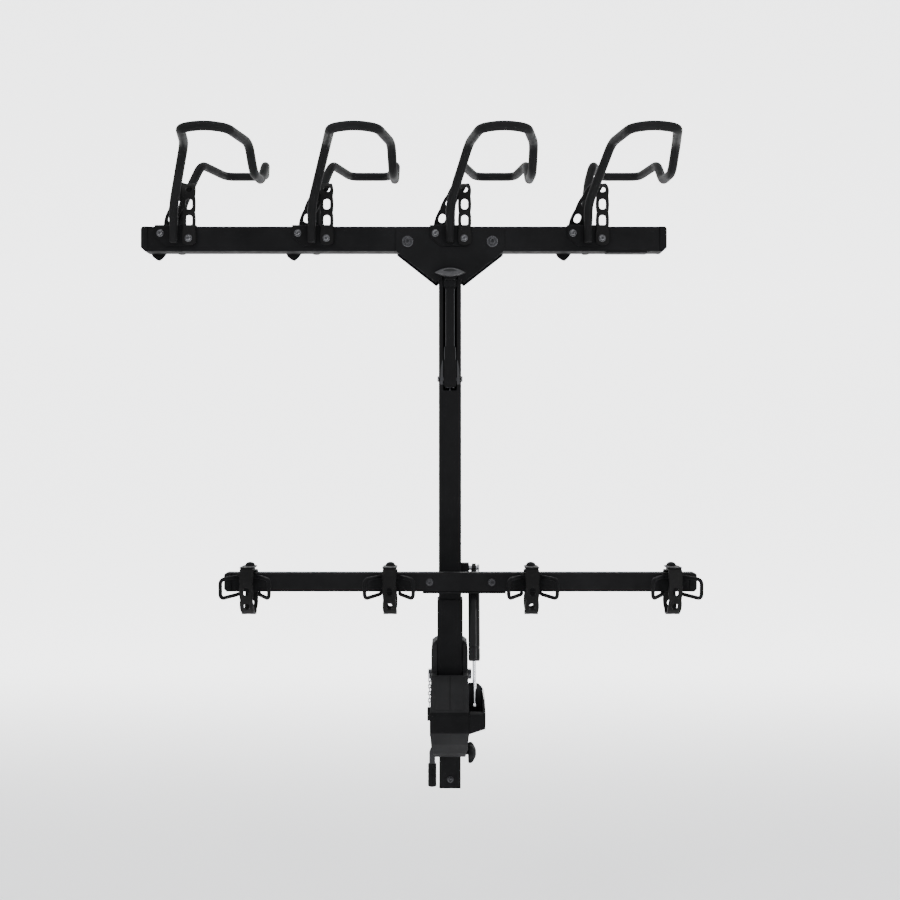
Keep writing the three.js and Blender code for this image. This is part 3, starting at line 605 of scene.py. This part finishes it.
for side, label in ((-1, "left"), (1, "right")):
    x, z = side * GUSSET_BOLT[0], GUSSET_BOLT[1]
    bolt(f"gusset_screw_{label}", (x, GUSSET_FRONT - GAP, z), "mast", washer=12.5, head=8.5,
         rise=6, socket=4.2)
    # A thin ring of the lighter bolt steel round each washer's edge is a painted highlight.
    circle = ring(x, z, 12.6)
    rim = tube([Vector((a, GUSSET_FRONT - 1.2, b)) for a, b in circle + circle[:1]], 0.7, 10, 0.01)
    piece(f"gusset_washer_highlight_{label}", rim, "mast", BRIGHT_BOLT, angle=60)
    shaft = [(0, 0), (4.6, 0), (5, 0.6), (5, 14), (4.4, 14.6), (0, 14.6)]
    nut = [(0, 0), (8.2, 0, "hex"), (9, 0.8, "hex"), (9, 6.2, "hex"), (8.2, 7, "hex"), (0, 7)]
    place = (x, MAST_BACK + 2 * GAP + PLATE, z)
    end = joined(aimed(revolve(shaft), place, (0, 1, 0)),
                 aimed(revolve(nut, 48, faceted), place, (0, 1, 0)))
    piece(f"gusset_nut_{label}", end, "mast", ZINC, [f"gusset_bolt_{label}"])

# ---- Release lever -----------------------------------------------------------------------------
LEVER_FRONT = MAST_FRONT - 1.5
LEVER_BACK = MAST_FRONT + 11
lever_outline = rounded([
    (-15.2, 955.7, 6), (15.2, 955.7, 6), (15.2, 1040, 18), (11.5, 1056, 18), (11.5, 1188, 14),
    (15.5, 1200, 4), (15.5, 1222, 3), (-15.5, 1222, 3), (-15.5, 1200, 4), (-11.5, 1188, 14),
    (-11.5, 1056, 18), (-15.2, 1040, 18),
])
blade = plate([lever_outline], "front", LEVER_FRONT, LEVER_BACK, 2.2)
lever_head = block((-15.5, 15.5), (LEVER_FRONT - 4, LEVER_FRONT + 4), (1196, 1222), 2)
lever_neck = block((-12, 12), (LEVER_FRONT - 9, LEVER_FRONT - 2), (1211, 1232), 2)
lever_arm = block((-5, 5), (LEVER_BACK - 3, -246), (970, 982), 1)
piece("lever_blade", joined(blade, lever_head, lever_neck, lever_arm), "release_lever", BLADE,
      ["release_lever"])


def lens(half, top, bottom, middle, steps=28):
    """Lens outline in (X, Z): two shallow arcs that meet in points."""
    across = [half * (2 * k / steps - 1) for k in range(steps + 1)]
    upper = [(x, middle + (top - middle) * (1 - (x / half) ** 2)) for x in across]
    lower = [(x, middle + (bottom - middle) * (1 - (x / half) ** 2)) for x in reversed(across)]
    return upper + lower[1:-1]


grip = plate([lens(35.5, 1239, 1219, 1228.4)], "front", LEVER_FRONT - 22, LEVER_FRONT - 4, 3)
piece("lever_grip", grip, "release_lever", LEVER, angle=60)
pad = plate([lens(17, 1236, 1229.4, 1232)], "front", LEVER_FRONT - 22.5, LEVER_FRONT - 18, 0.4)
piece("lever_grip_pad", pad, "release_lever", PAD, angle=60)

# Pairs of raised ridges along the blade, each (inner X, foot, top), lighter as painted highlights.
RIDGES = ((13.2, 1199, 1218), (9.6, 1054, 1192), (12.6, 1022, 1052))
RIDGE_WIDTH = 1.3
proud = (LEVER_FRONT - 0.9, LEVER_FRONT + 1)
ridges = [block(sorted((side * x, side * (x + RIDGE_WIDTH))), proud, (low, high), 0.4)
          for x, low, high in RIDGES for side in (-1, 1)]
piece("lever_ridge_highlights", joined(*ridges), "release_lever", LEVER)

# Thin lighter patches on the mast's front beside the lever's pivot: painted light for its lit inner
# walls.
PAINTED_LIGHT_PATCH = ((16.6, 1018, 0.5), (18.5, 1022, 1), (22.5, 1000, 3), (24, 962, 2), (16.6, 962, 0.5))
painted_light_patches = [plate([rounded([(side * x, z, r) for x, z, r in PAINTED_LIGHT_PATCH])], "front", MAST_FRONT - 1.2,
                MAST_FRONT - 0.1, 0.4) for side in (-1, 1)]
piece("lever_painted_light_patches", joined(*painted_light_patches), "mast", PAINTED_LIGHT)

pin_head = [(0, 0), (7, 0), (7, 2.2), (6.2, 3.1), (0, 3.3)]
pin_shaft = [(0, 0), (5, 0), (5, 2 * MAST_HALF), (0, 2 * MAST_HALF)]
pivot = [aimed(revolve(pin_head), (side * (MAST_HALF + 0.2), *LEVER_PIN), (side, 0, 0))
         for side in (-1, 1)]
pivot.append(aimed(revolve(pin_shaft), (-MAST_HALF, *LEVER_PIN), (1, 0, 0)))
piece("lever_pivot", joined(*pivot), "mast", DARK_BOLT, ["lever_pin"])
carried_over("pull_rod", ZINC, 0.4)
carried_over("latch_cam", ZINC, 0.5)

# ---- Damper ------------------------------------------------------------------------------------
damper_line = (Vector(DAMPER_FOOT) - Vector(DAMPER_TOP)).normalized()


def along_damper(profile):
    """Turned body whose heights are measured down the damper from its upper eye."""
    return aimed(revolve(profile), DAMPER_TOP, damper_line)


cylinder = along_damper([
    (0, 5), (7, 5), (7, 18), (8, 20), (11, 20.6), (13.2, 22.4), (14, 25.5), (14, 188), (13.3, 188.8),
    (13.3, 191), (14, 191.8), (14, 216), (13.3, 219.6), (11.4, 221.6), (9, 222), (6, 222),
    (5.6, 220), (0, 220),
])
eye = aimed(revolve([(6.3, 0), (10, 0), (11, 1), (11, 9), (10, 10), (6.3, 10)]),
            (DAMPER_TOP[0] - 5, *DAMPER_TOP[1:]), (1, 0, 0))
piece("damper_body", joined(cylinder, eye), "damper_cylinder", GLOSS,
      ["damper_cylinder"])
rod = along_damper([(0, 130), (4.5, 130), (4.5, DAMPER_LENGTH - 4), (0, DAMPER_LENGTH - 4)])
foot = aimed(revolve([(5.3, 0), (6.9, 0), (7.4, 0.5), (7.4, 5.9), (6.9, 6.4), (5.3, 6.4)]),
             (DAMPER_FOOT[0] - 3.2, *DAMPER_FOOT[1:]), (1, 0, 0))
piece("damper_shaft", joined(rod, foot), "damper_rod", CHROME, ["damper_rod"])
anchor = aimed(revolve([(0, 0), (4.4, 0), (5, 0.8), (5, 23.2), (4.4, 24), (0, 24)]),
               (DAMPER_FOOT[0] - 11, *DAMPER_FOOT[1:]), (1, 0, 0))
piece("damper_foot_pin", anchor, "damper_rod", BAND, ["damper_anchor_pin"])
stud = block((MAST_HALF + GAP, 46), (-274, -246), (506, 531), 1.5)
piece("damper_bracket", stud, "mast", POWDER, ["damper_stud"])
upper_pin = revolve([(0, 0), (6, 0), (6, 24), (8.4, 24), (9, 24.8), (9, 28), (8.2, 29), (0, 29)])
piece("damper_bracket_pin", aimed(upper_pin, (42, *DAMPER_TOP[1:]), (1, 0, 0)), "mast", ZINC)

# ---- Hitch end: shank, yokes, housing and what is on it ----------------------------------------
carried_over("hitch_shank", POWDER, 2.2)
carried_over("shank_end_plug", CAP, 1.2)
carried_over("yoke_left", POWDER, 0.8)
carried_over("yoke_right", POWDER, 0.8)
carried_over("lower_bar_bracket", POWDER, 1.0)

HOUSING_OUTLINE = [
    (-288, 272, 6), (-288, 336, 5), (-276, 348, 5), (-222, 348, 8), (-206, 325, 12), (-203, 240, 20),
    (-210, 150, 20), (-224, 102, 12), (-250, 82, 12), (-290, 76, 20), (-340, 84, 30),
    (-386, 106, 24), (-420, 137, 14), (-438, 168, 8), (-438, 206, 5), (-430, 214, 5),
    (-322, 271.5, 3),
]
HOUSING_LEFT, HOUSING_RIGHT = 45, 43
HOUSING_WALL = 3.5
SLEEVE_SLOT = SLEEVE_HALF + 0.8


def flank(side, points):
    """Body outside one side of the housing, to trim it by, drawn as seen from the front."""
    in_front, behind = -460, -180
    return plate([rounded([(side * x, z, r) for x, z, r in points])], "front", in_front, behind)


def housing_shell():
    """Both halves as one closed, hollow body with chamfered shoulders and a tapered foot."""
    shell = plate([rounded(HOUSING_OUTLINE, 5)], "side", -HOUSING_LEFT, HOUSING_RIGHT, 2.5)
    hollow = plate([rounded(inset(HOUSING_OUTLINE, 3), 5)], "side", HOUSING_WALL - HOUSING_LEFT,
                   HOUSING_RIGHT - HOUSING_WALL)
    for side, half in ((-1, HOUSING_LEFT), (1, HOUSING_RIGHT)):
        outside = [(33.5, 60, 0), (33.5, 70, 8), (half - 3, 118, 24), (half - 0.1, 165, 30),
                   (half + 0.3, 200, 0), (half + 0.3, 320, 0), (half - 1.6, 338.5, 5),
                   (29, 349.5, 0)]
        inside = [(30.5, 60, 0), (30.5, 70, 8), (half - 6, 118, 24), (half - 3.6, 165, 30),
                  (half - 3.6, 320, 0), (half - 4.8, 337, 3), (24, 345, 0)]
        rest = [(24, 400, 0), (60, 400, 0), (60, 60, 0)]
        shell = cut(shell, flank(side, outside + rest))
        hollow = cut(hollow, flank(side, inside + rest))
    mast_slot = plate([rectangle(-320, -222, 236, 400, 2)], "side", -SLEEVE_SLOT, SLEEVE_SLOT)
    foot_slot = plate([rectangle(-336, -226, 40, 140, 3)], "side", -30, 30)
    knob_slot = plate([rectangle(-292, -276, 50, 86, 5)], "side", 30, 50)
    bolt_hole = plate([ring(*PIVOT, 9)], "side", -60, 60)
    return cut(shell, hollow, mast_slot, foot_slot, knob_slot, bolt_hole)


for side, label in ((-1, "left"), (1, "right")):
    half = sliced(housing_shell(), (side * GAP / 2, 0, 0), (-side, 0, 0))
    piece(f"housing_half_{label}", half, "base", HOUSING,
          [f"housing_{label}"], bevel=0.5)

tongue = plate([rounded(inset(HOUSING_OUTLINE, 1), 5), rounded(inset(HOUSING_OUTLINE, 5), 5)],
               "side", -4, 4)
openings = (plate([rectangle(-322, -220, 234, 402, 2)], "side", -8, 8),
            plate([rectangle(-338, -224, 40, 140, 3)], "side", -8, 8))
piece("housing_tongue", cut(tongue, *openings), "base", BAND)

# Band round the front of the housing, darker as painted shade, and the raised panels of the ramp
# above it.
band = plate([rounded([(-439, 169, 1.5), (-439, 207, 1.5), (-433, 212.8, 1), (-424, 208, 1),
                       (-424, 158, 1), (-431, 158, 1)])],
             "side", -HOUSING_LEFT - 0.6, HOUSING_RIGHT + 0.2, 0.6)
piece("housing_band", band, "base", BAND)
RAMP_FOOT, RAMP_TOP = Vector((-426, 216.1)), Vector((-324, 270.4))
ramp_up = (RAMP_TOP - RAMP_FOOT).orthogonal().normalized()
for x0, x1, label in ((-33, -1.3, "left"), (1.3, 31, "right")):
    corners = [RAMP_FOOT - ramp_up, RAMP_TOP - ramp_up, RAMP_TOP + ramp_up, RAMP_FOOT + ramp_up]
    ramp = plate([rounded([(p.x, p.y, 0.4) for p in corners])], "side", x0, x1, 0.5)
    piece(f"housing_panel_{label}", ramp, "base", HOUSING)


def pocket_shell():
    """Open pocket that takes the damper's foot, its floor slanting up to the right."""
    outline = [
        (-315, 256, 4), (-315, 178, 10), (-330, 160, 8), (-366, 150, 16), (-408, 152, 16),
        (-432, 164, 10), (-438, 180, 6), (-434, 212, 4),
    ]
    hollow = [
        (-318, 300, 0), (-318, 179, 8), (-332, 163, 6), (-366, 153, 14), (-407, 155, 14),
        (-429.5, 166, 8), (-435, 181, 4), (-431, 300, 0),
    ]
    corner = [(30, 264, 0), (60, 256, 12), (76, 244, 14), (80.4, 216, 16), (80.6, 190, 0),
              (95, 190, 0), (95, 320, 0), (30, 320, 0)]
    below = [[(30, 158.1 + rise), (90, 180.2 + rise), (90, 90), (30, 90)] for rise in (0, 3.2)]
    walls = plate([rounded(outline, 5)], "side", HOUSING_RIGHT + GAP, 80, 2.5)
    inside = plate([rounded(hollow, 5)], "side", 38, 75.5)
    in_front, behind = -460, -290
    inside = cut(inside, plate([below[1]], "front", in_front, behind))
    return cut(walls, plate([rounded(corner)], "front", in_front, behind),
               plate([below[0]], "front", in_front - 1, behind + 1), inside)


piece("pocket", pocket_shell(), "base", HOUSING, ["damper_pocket"], bevel=0.5)
# The band carries on round the pocket, darker as painted shade.
pocket_band = [(43.4, 165, 1), (74, 176.5, 6), (80, 184, 5), (80, 208, 1), (43.4, 208, 1)]
piece("pocket_band", plate([rounded(pocket_band)], "front", -440, -434.5, 1), "base", BAND)

# A thin lighter tube along the pocket's outer edge is a painted highlight.
rim_route = [(66, -318, 252.4), (76.5, -330, 243), (79.3, -352, 234), (79.6, -392, 225),
             (79.6, -428, 214), (79.6, -436.6, 208), (79.4, -438, 186)]
piece("pocket_rim_highlight", tube(smooth_curve(rim_route, 10), 0.8, 12, 0.1), "base", PAINTED_LIGHT,
      angle=60)
# A lighter plate on the pocket's back wall paints light inside the pocket.
piece("pocket_back_painted_light", block((44, 74), (-320, -318.2), (184, 247), 0.4), "base", PAINTED_LIGHT)
ledge = block((44, 77), (-433, -410), (206.5, 209.5), 1)
piece("pocket_ledge", ledge, "base", HOUSING)

pivot_left = (-HOUSING_LEFT - GAP, *PIVOT)
pivot_right = (HOUSING_RIGHT + GAP, *PIVOT)
screw_shaft = [(0, 0), (8, 0), (8, 92), (7, 93.5), (0, 93.5)]
screw_head = [(0, 0), (13, 0, "hex"), (13, 5.6, "hex"), (11.4, 7.4), (0, 7.6)]
screw = joined(aimed(revolve(screw_shaft), pivot_left, (1, 0, 0)),
               aimed(revolve(screw_head, 48, faceted), pivot_left, (-1, 0, 0)))
piece("pivot_screw", screw, "base", DARK_BOLT, ["pivot_bolt"])
lock_nut = [(8.3, 0), (12, 0, "hex"), (13, 1, "hex"), (13, 7.7, "hex"), (12, 8.6, "hex"),
            (8.3, 8.7)]
piece("pivot_lock_nut", aimed(revolve(lock_nut, 48, faceted), pivot_right, (1, 0, 0)), "base",
      DARK_BOLT, ["pivot_nut"])
bolt("shank_end_bolt", (0.7, -318, 24), "base", washer=7.5, head=6, rise=4)

hand_knob = revolve([(0, -7.3), (5, -7.3), (5, 0), (20, 0, "wave"), (23, 0.8, "wave"),
                     (24.4, 3, "wave"), (24.4, 7, "wave"), (22, 11, "wave"), (16, 14.6, "wave"),
                     (11, 17.6), (6, 19), (0, 19)], 96, faceted)
piece("tension_hand_knob", aimed(hand_knob, TENSION_KNOB, (1, 0, 0)), "tension_knob", CAP,
      ["tension_knob"], angle=50)
turn_knob = revolve([(0, -9), (4, -9), (4, 0), (12, 0), (13.6, 1.4), (14, 3.5), (13.4, 6.4),
                     (11.6, 8.2), (0, 9)], 64)
wing = block((SAFETY_KNOB[0] - 9, SAFETY_KNOB[0] - 1), (-304, -296), (159, 191), 1.6)
piece("safety_turn_knob", joined(aimed(turn_knob, SAFETY_KNOB, (-1, 0, 0)), wing), "safety_knob",
      CAP, ["safety_knob"])


def chain_links(route, count, wire=1.15, half_length=5.6, half_width=2.6):
    """Oval links, each turned a quarter from the last."""
    path = smooth_curve(route)
    marks = lengths(path)
    links = []
    for k in range(count):
        at = marks[-1] * (k + 0.5) / count
        i = max(j for j in range(len(marks) - 1) if marks[j] <= at)
        along = (path[i + 1] - path[i]).normalized()
        across = Vector((1, 0, 0)) if k % 2 else along.cross(Vector((1, 0, 0))).normalized()
        oval = [path[i] + along * half_length * math.sin(a) + across * half_width * math.cos(a)
                for a in (2 * math.pi * step / 28 for step in range(29))]
        links.append(tube(oval, wire, 10, 0.01))
    return joined(*links)


CHAIN_X = -49.5
chain_route = [(CHAIN_X, -274, 262), (CHAIN_X, -281, 250), (CHAIN_X, -284, 226),
               (CHAIN_X, -291, 206), (CHAIN_X, -297, 194)]
piece("tether_links", chain_links(chain_route, 9), "base", CHAIN, ["tether_chain"])



def pin_radius(point):
    """Radius of the hitch pin's rod, with a groove for its clip near the far end."""
    in_groove = HITCH_PIN["right"] - 11 < point.x < HITCH_PIN["right"] - 7
    return HITCH_PIN["radius"] - (1.6 if in_groove else 0)


corner = (HITCH_PIN["left"], HITCH_PIN["y"])
pin_route = [(*corner, BASE_LINE - HITCH_PIN["handle"]), (*corner, BASE_LINE),
             (HITCH_PIN["right"], HITCH_PIN["y"], BASE_LINE)]
piece("hitch_pin_rod", tube(bent_path(pin_route, 16, stride=1.5), pin_radius, 32, 1.5),
      "hitch_pin", DARK_BOLT, ["hitch_pin"])
grip_foot = BASE_LINE - HITCH_PIN["handle"] - 2
sleeve = [(8, 0), (10.4, 0), (11, 0.8)]
for groove in (15, 30, 45):
    sleeve += [(11, groove), (10.2, groove + 0.6), (10.2, groove + 2.4), (11, groove + 3)]
sleeve += [(11, 57), (10.2, 58), (8, 58)]
piece("hitch_pin_grip", aimed(revolve(sleeve), (*corner, grip_foot), (0, 0, 1)), "hitch_pin", CAP)

# ---- Upper cradles -----------------------------------------------------------------------------
BARE_LEG, COATED_TUBE = 9.6, 10.6
LEG_OUT = 10.2
BAR_BACK = UPPER_BAR["y"][1]
LEG_FRONT = MAST_FRONT - 2 * GAP - PLATE - LEG_OUT
LEG_BACK = BAR_BACK + 2 * GAP + PLATE + LEG_OUT
BASKET_ROUTE = [
    (0, LEG_FRONT, 1300), (0, LEG_FRONT, 1390),
    (44.6, -374, 1515.6), (67.4, -494, 1512), (118.9, -494, 1518.5),
    (170.4, -494, 1512), (193.9, -374, 1515.6),
    (195, -319, 1461), (194.5, -225, 1468),
    (193.7, -158, 1526.6), (170.4, -37, 1529), (67.7, -37, 1529), (31.6, -158, 1526.6),
    (16.4, -182, 1477), (2, LEG_BACK, 1400), (2, LEG_BACK, 1285),
]
STRAP_ROUTE = [
    (35, -293, 1296), (35, -293, 1340), (35, -293, 1400), (34.5, -291.5, 1430),
    (29, -280, 1444), (15, -266, 1432), (1, -258, 1410), (-12, -251, 1386), (-22, -244, 1363),
    (-28, -239, 1345), (-34, -238.3, 1326), (-42, -238.3, 1306), (-51, -239, 1288),
    (-62, -240.5, 1273.5),
]
STRAP = {"half": 16, "waist": 14, "thickness": 4, "corner": 9}

# Slots of the two kinds of strap, each (middle, length) along it, with their width and pitch.
STRAP_SLOTS = [(58.6, 26), (97.6, 25), (134, 15), (212, 16), (251, 21)]
STRAP_SLOT_WIDTH, STRAP_PITCH = 16, 39
LOOP_SLOTS = [(83.5, 19.5), (119.5, 16), (155, 14), (191, 14), (227, 14)]
LOOP_SLOT_WIDTH, LOOP_PITCH = 12.5, 37.5


def ladder(total, slots, width, pitch):
    """Flat ladder strap in (across, along) with scalloped sides, round corners and slots."""
    count = int(total / 2.5)
    side = []
    for k in range(count + 1):
        along = total * k / count
        wave = abs(math.cos(math.pi * (along - slots[0][0]) / pitch)) ** 0.6
        half = STRAP["waist"] + (STRAP["half"] - STRAP["waist"]) * wave
        nearest = min(along, total - along)
        if nearest < STRAP["corner"]:
            half -= STRAP["corner"] - math.sqrt(STRAP["corner"] ** 2
                                                - (STRAP["corner"] - nearest) ** 2)
        side.append((half, along))
    loops = [side + [(-half, along) for half, along in reversed(side)]]
    for middle, length in slots:
        loops.append(rectangle(-width / 2, width / 2, middle - length / 2, middle + length / 2,
                               min(width, length) / 2 - 0.8, 6))
    return plate(loops, "top", -STRAP["thickness"] / 2, STRAP["thickness"] / 2, 0.9)


def shifted(bm, x):
    """Moves a body along the bar."""
    bmesh.ops.translate(bm, vec=(x, 0, 0), verts=bm.verts)
    return bm


def saddle_bracket():
    """Channel folded from plate over the bar, with its lower corners cut."""
    front, back = GUSSET_FRONT, BAR_BACK + GAP + PLATE
    roof, foot = 1345.7, 1294
    channel = rounded([
        (front, foot, 0), (front, roof, 5), (back, roof, 5), (back, foot, 0), (back - PLATE, foot, 0),
        (back - PLATE, roof - PLATE, 2), (front + PLATE, roof - PLATE, 2), (front + PLATE, foot, 0),
    ])
    bm = plate([channel], "side", -48.5, 49.4)
    bm = sliced(bm, (-48.5, 0, 1316), (-22, 0, -26.5))
    return sliced(bm, (49.4, 0, 1304), (1, 0, -1))


def coated_radius(point):
    """The coating starts above the bracket."""
    share = min(1, max(0, (point.z - 1348) / 4))
    return BARE_LEG + (COATED_TUBE - BARE_LEG) * share


def cradle(number, x):
    """Upper cradle for one bicycle's front wheel: bracket, basket tube, strap and bolts."""
    label = f"_{number}"
    piece("cradle_bracket" + label, shifted(saddle_bracket(), x), "mast", POWDER,
          ["saddle_bracket" + label], bevel=0.7)
    loop = tube(bent_path(BASKET_ROUTE, 23, stride=6), coated_radius, 32, 2)
    piece("basket_tube" + label, shifted(loop, x), "mast", COATED,
          ["wheel_basket" + label], angle=60)
    path = smooth_curve(STRAP_ROUTE)
    strap = ladder(lengths(path)[-1], STRAP_SLOTS, STRAP_SLOT_WIDTH, STRAP_PITCH)
    piece("ladder_strap" + label, shifted(wrapped(strap, path), x), "mast", RUBBER,
          ["wheel_strap" + label], angle=50)
    bolt("bracket_bolt" + label, (x - 35, GUSSET_FRONT, 1325), "mast", washer=8.6, head=6.6,
         rise=4.4, material=BRIGHT_BOLT)
    bolt("strap_bolt" + label, (x + 34, -294.8, 1312), "mast", washer=8.6, head=6.6, rise=4,
         material=BRIGHT_BOLT)


for number, x in enumerate(CRADLE_X, 1):
    cradle(number, x)

# ---- Lower holders -----------------------------------------------------------------------------
BAR_FRONT = LOWER_BAR["y"][0]
BAR_MIDDLE = sum(LOWER_BAR["z"]) / 2
WIRE = 4.4
WIRE_HALF = [
    (12, -357.3, 510), (24, -357.3, 510), (55.7, -401, 508), (55.7, -399, 464), (24, -356, 468.5),
    (22, -338, 469.2),
]
LOOP_ROUTE = [
    (0, -348, BAR_TOP + 4), (0, -366, BAR_TOP + 10), (0, -379, BAR_TOP + 10), (0, -384, 508),
    (0, -383, 478), (0, -377, 446), (0, -362, 427), (0, -346, 423), (0, -330, 429), (0, -321, 448),
    (0, -319, 474), (0, -319, 508), (0, -319.5, 517), (0, -324, BAR_TOP + 3.8),
    (0, -332, BAR_TOP + 4), (0, -341, BAR_TOP + 4),
]


def holder(number, x):
    """Lower holder for a rear wheel: wire wings, looped strap, domed knob with a brim, and bolt."""
    label = f"_{number}"
    mirrored = [(-a, y, z) for a, y, z in reversed(WIRE_HALF)]
    wire = tube(bent_path(mirrored + WIRE_HALF, 13, stride=6), WIRE, 20, 0.8)
    piece("wing_wire" + label, shifted(wire, x), "mast", POWDER,
          ["holder_wire" + label], angle=60)
    path = smooth_curve(LOOP_ROUTE)
    strap = ladder(lengths(path)[-1], LOOP_SLOTS, LOOP_SLOT_WIDTH, LOOP_PITCH)
    piece("loop_strap" + label, shifted(wrapped(strap, path), x), "mast", RUBBER,
          ["holder_strap" + label], angle=50)
    foot = (x, -336, BAR_TOP + 6.3)
    dome = revolve([(0, 0), (10.6, 0), (11.5, 0.8), (11.5, 9.4), (11, 12), (9.6, 14.4),
                    (7, 16.4), (4, 17.5), (0, 17.8)], 48)
    brim = plate([rounded([(x - 17.5, -381, 9), (x + 17.5, -381, 9), (x + 16, -328, 6),
                           (x - 16, -328, 6)])], "top", BAR_TOP + 12.6, BAR_TOP + 16, 1.2)
    neck = revolve([(0, 0), (12, 0), (12, 6), (13.5, 8.4), (0, 8.4)], 48)
    domed = joined(aimed(dome, foot, (0, 0, 1)), brim, aimed(neck, foot, (0, 0, 1)))
    piece("holder_dome" + label, domed, "mast", CAP, ["holder_knob" + label],
          angle=50)
    bolt("wire_bolt" + label, (x, BAR_FRONT, BAR_MIDDLE), "mast", washer=6.5, head=5, rise=3.4)


for number, x in enumerate(HOLDER_X, 1):
    holder(number, x)

for k, x in enumerate((-47.6, 97.6), 1):
    bolt(f"lower_bar_bolt_{k}", (x, BAR_FRONT, BAR_MIDDLE), "mast", washer=8.5, head=6, rise=4)

# ---- Floor, light and camera -------------------------------------------------------------------
FLOOR_Z = -0.42
FLOOR_FRONT, BEND_START, BEND_RADIUS, WALL_TOP = -9.0, 2.6, 2.4, 8.0
BACKDROP_HALF = 9


def stage_material(name, colour, floor_glow, wall_glow):
    """Pale backdrop that glows softly, less on the floor in front than on the wall behind."""
    material = bpy.data.materials.new(name)
    material.use_nodes = True
    nodes, links = material.node_tree.nodes, material.node_tree.links
    shader = nodes["Principled BSDF"]
    shader.inputs["Base Color"].default_value = (*colour, 1)
    shader.inputs["Roughness"].default_value = 0.9
    shader.inputs["Emission Color"].default_value = (1, 1, 1, 1)
    coordinates = nodes.new("ShaderNodeTexCoord")
    split = nodes.new("ShaderNodeSeparateXYZ")
    ramp = nodes.new("ShaderNodeMapRange")
    ramp.interpolation_type = "SMOOTHSTEP"
    ramp.inputs["From Min"].default_value = 0.2
    ramp.inputs["From Max"].default_value = 3.2
    ramp.inputs["To Min"].default_value = floor_glow
    ramp.inputs["To Max"].default_value = wall_glow
    links.new(coordinates.outputs["Object"], split.inputs["Vector"])
    links.new(split.outputs["Y"], ramp.inputs["Value"])
    links.new(ramp.outputs["Result"], shader.inputs["Emission Strength"])
    return material


def backdrop():
    """Floor that rises in a large curve behind the rack."""
    profile = [(FLOOR_FRONT, FLOOR_Z), (BEND_START, FLOOR_Z)]
    for k in range(1, 25):
        a = math.pi / 2 * k / 24
        profile.append((BEND_START + BEND_RADIUS * math.sin(a),
                        FLOOR_Z + BEND_RADIUS * (1 - math.cos(a))))
    profile.append((BEND_START + BEND_RADIUS, WALL_TOP))
    bm = bmesh.new()
    rows = [[bm.verts.new((x, y, z)) for x in (-BACKDROP_HALF, BACKDROP_HALF)]
            for y, z in profile]
    for lower, upper in zip(rows, rows[1:]):
        bm.faces.new((lower[0], lower[1], upper[1], upper[0]))
    obj = placed("backdrop", bm)
    mesh = obj.data
    mesh.polygons.foreach_set("use_smooth", [True] * len(mesh.polygons))
    mesh.materials.append(stage_material("pale_floor", (0.9, 0.9, 0.905), 0.28, 2.5))


def area_light(name, place, target, size, power):
    """Rectangular light of a size in metres, aimed at a target."""
    light = bpy.data.lights.new(name, "AREA")
    light.shape = "RECTANGLE"
    light.size, light.size_y = size
    light.energy = power
    obj = bpy.data.objects.new(name, light)
    obj.location = place
    obj.rotation_euler = (Vector(target) - Vector(place)).to_track_quat("-Z", "Y").to_euler()
    bpy.context.scene.collection.objects.link(obj)


backdrop()
area_light("key", (-2.6, -2.6, 3.6), (0, -0.3, 0.8), (1.6, 1.6), 44)
area_light("strip", (1.9, -2.8, 1.1), (0, -0.3, 0.6), (0.35, 2.6), 34)
area_light("top", (0, -0.6, 4.0), (0, -0.3, 0.6), (2.2, 1.6), 26)


def studio_world():
    """Soft light from all round, a little brighter from the camera's side of the studio."""
    world = bpy.data.worlds.new("studio")
    world.use_nodes = True
    nodes, links = world.node_tree.nodes, world.node_tree.links
    coordinates = nodes.new("ShaderNodeTexCoord")
    split = nodes.new("ShaderNodeSeparateXYZ")
    ramp = nodes.new("ShaderNodeMapRange")
    ramp.inputs["From Min"].default_value = -0.7
    ramp.inputs["From Max"].default_value = 0.5
    ramp.inputs["To Min"].default_value = 0.95
    ramp.inputs["To Max"].default_value = 0.7
    links.new(coordinates.outputs["Generated"], split.inputs["Vector"])
    links.new(split.outputs["Y"], ramp.inputs["Value"])
    links.new(ramp.outputs["Result"], nodes["Background"].inputs["Strength"])
    nodes["Background"].inputs["Color"].default_value = (0.95, 0.97, 1.0, 1)
    bpy.context.scene.world = world


studio_world()

camera = bpy.data.objects.new("camera", bpy.data.cameras.new("camera"))
camera.data.lens = 40
camera.data.sensor_width = 36
camera.location = (0, -2.688, 0.777)
camera.rotation_euler = (math.pi / 2, 0, 0)
bpy.context.scene.collection.objects.link(camera)
bpy.context.scene.camera = camera

bpy.context.view_layer.update()
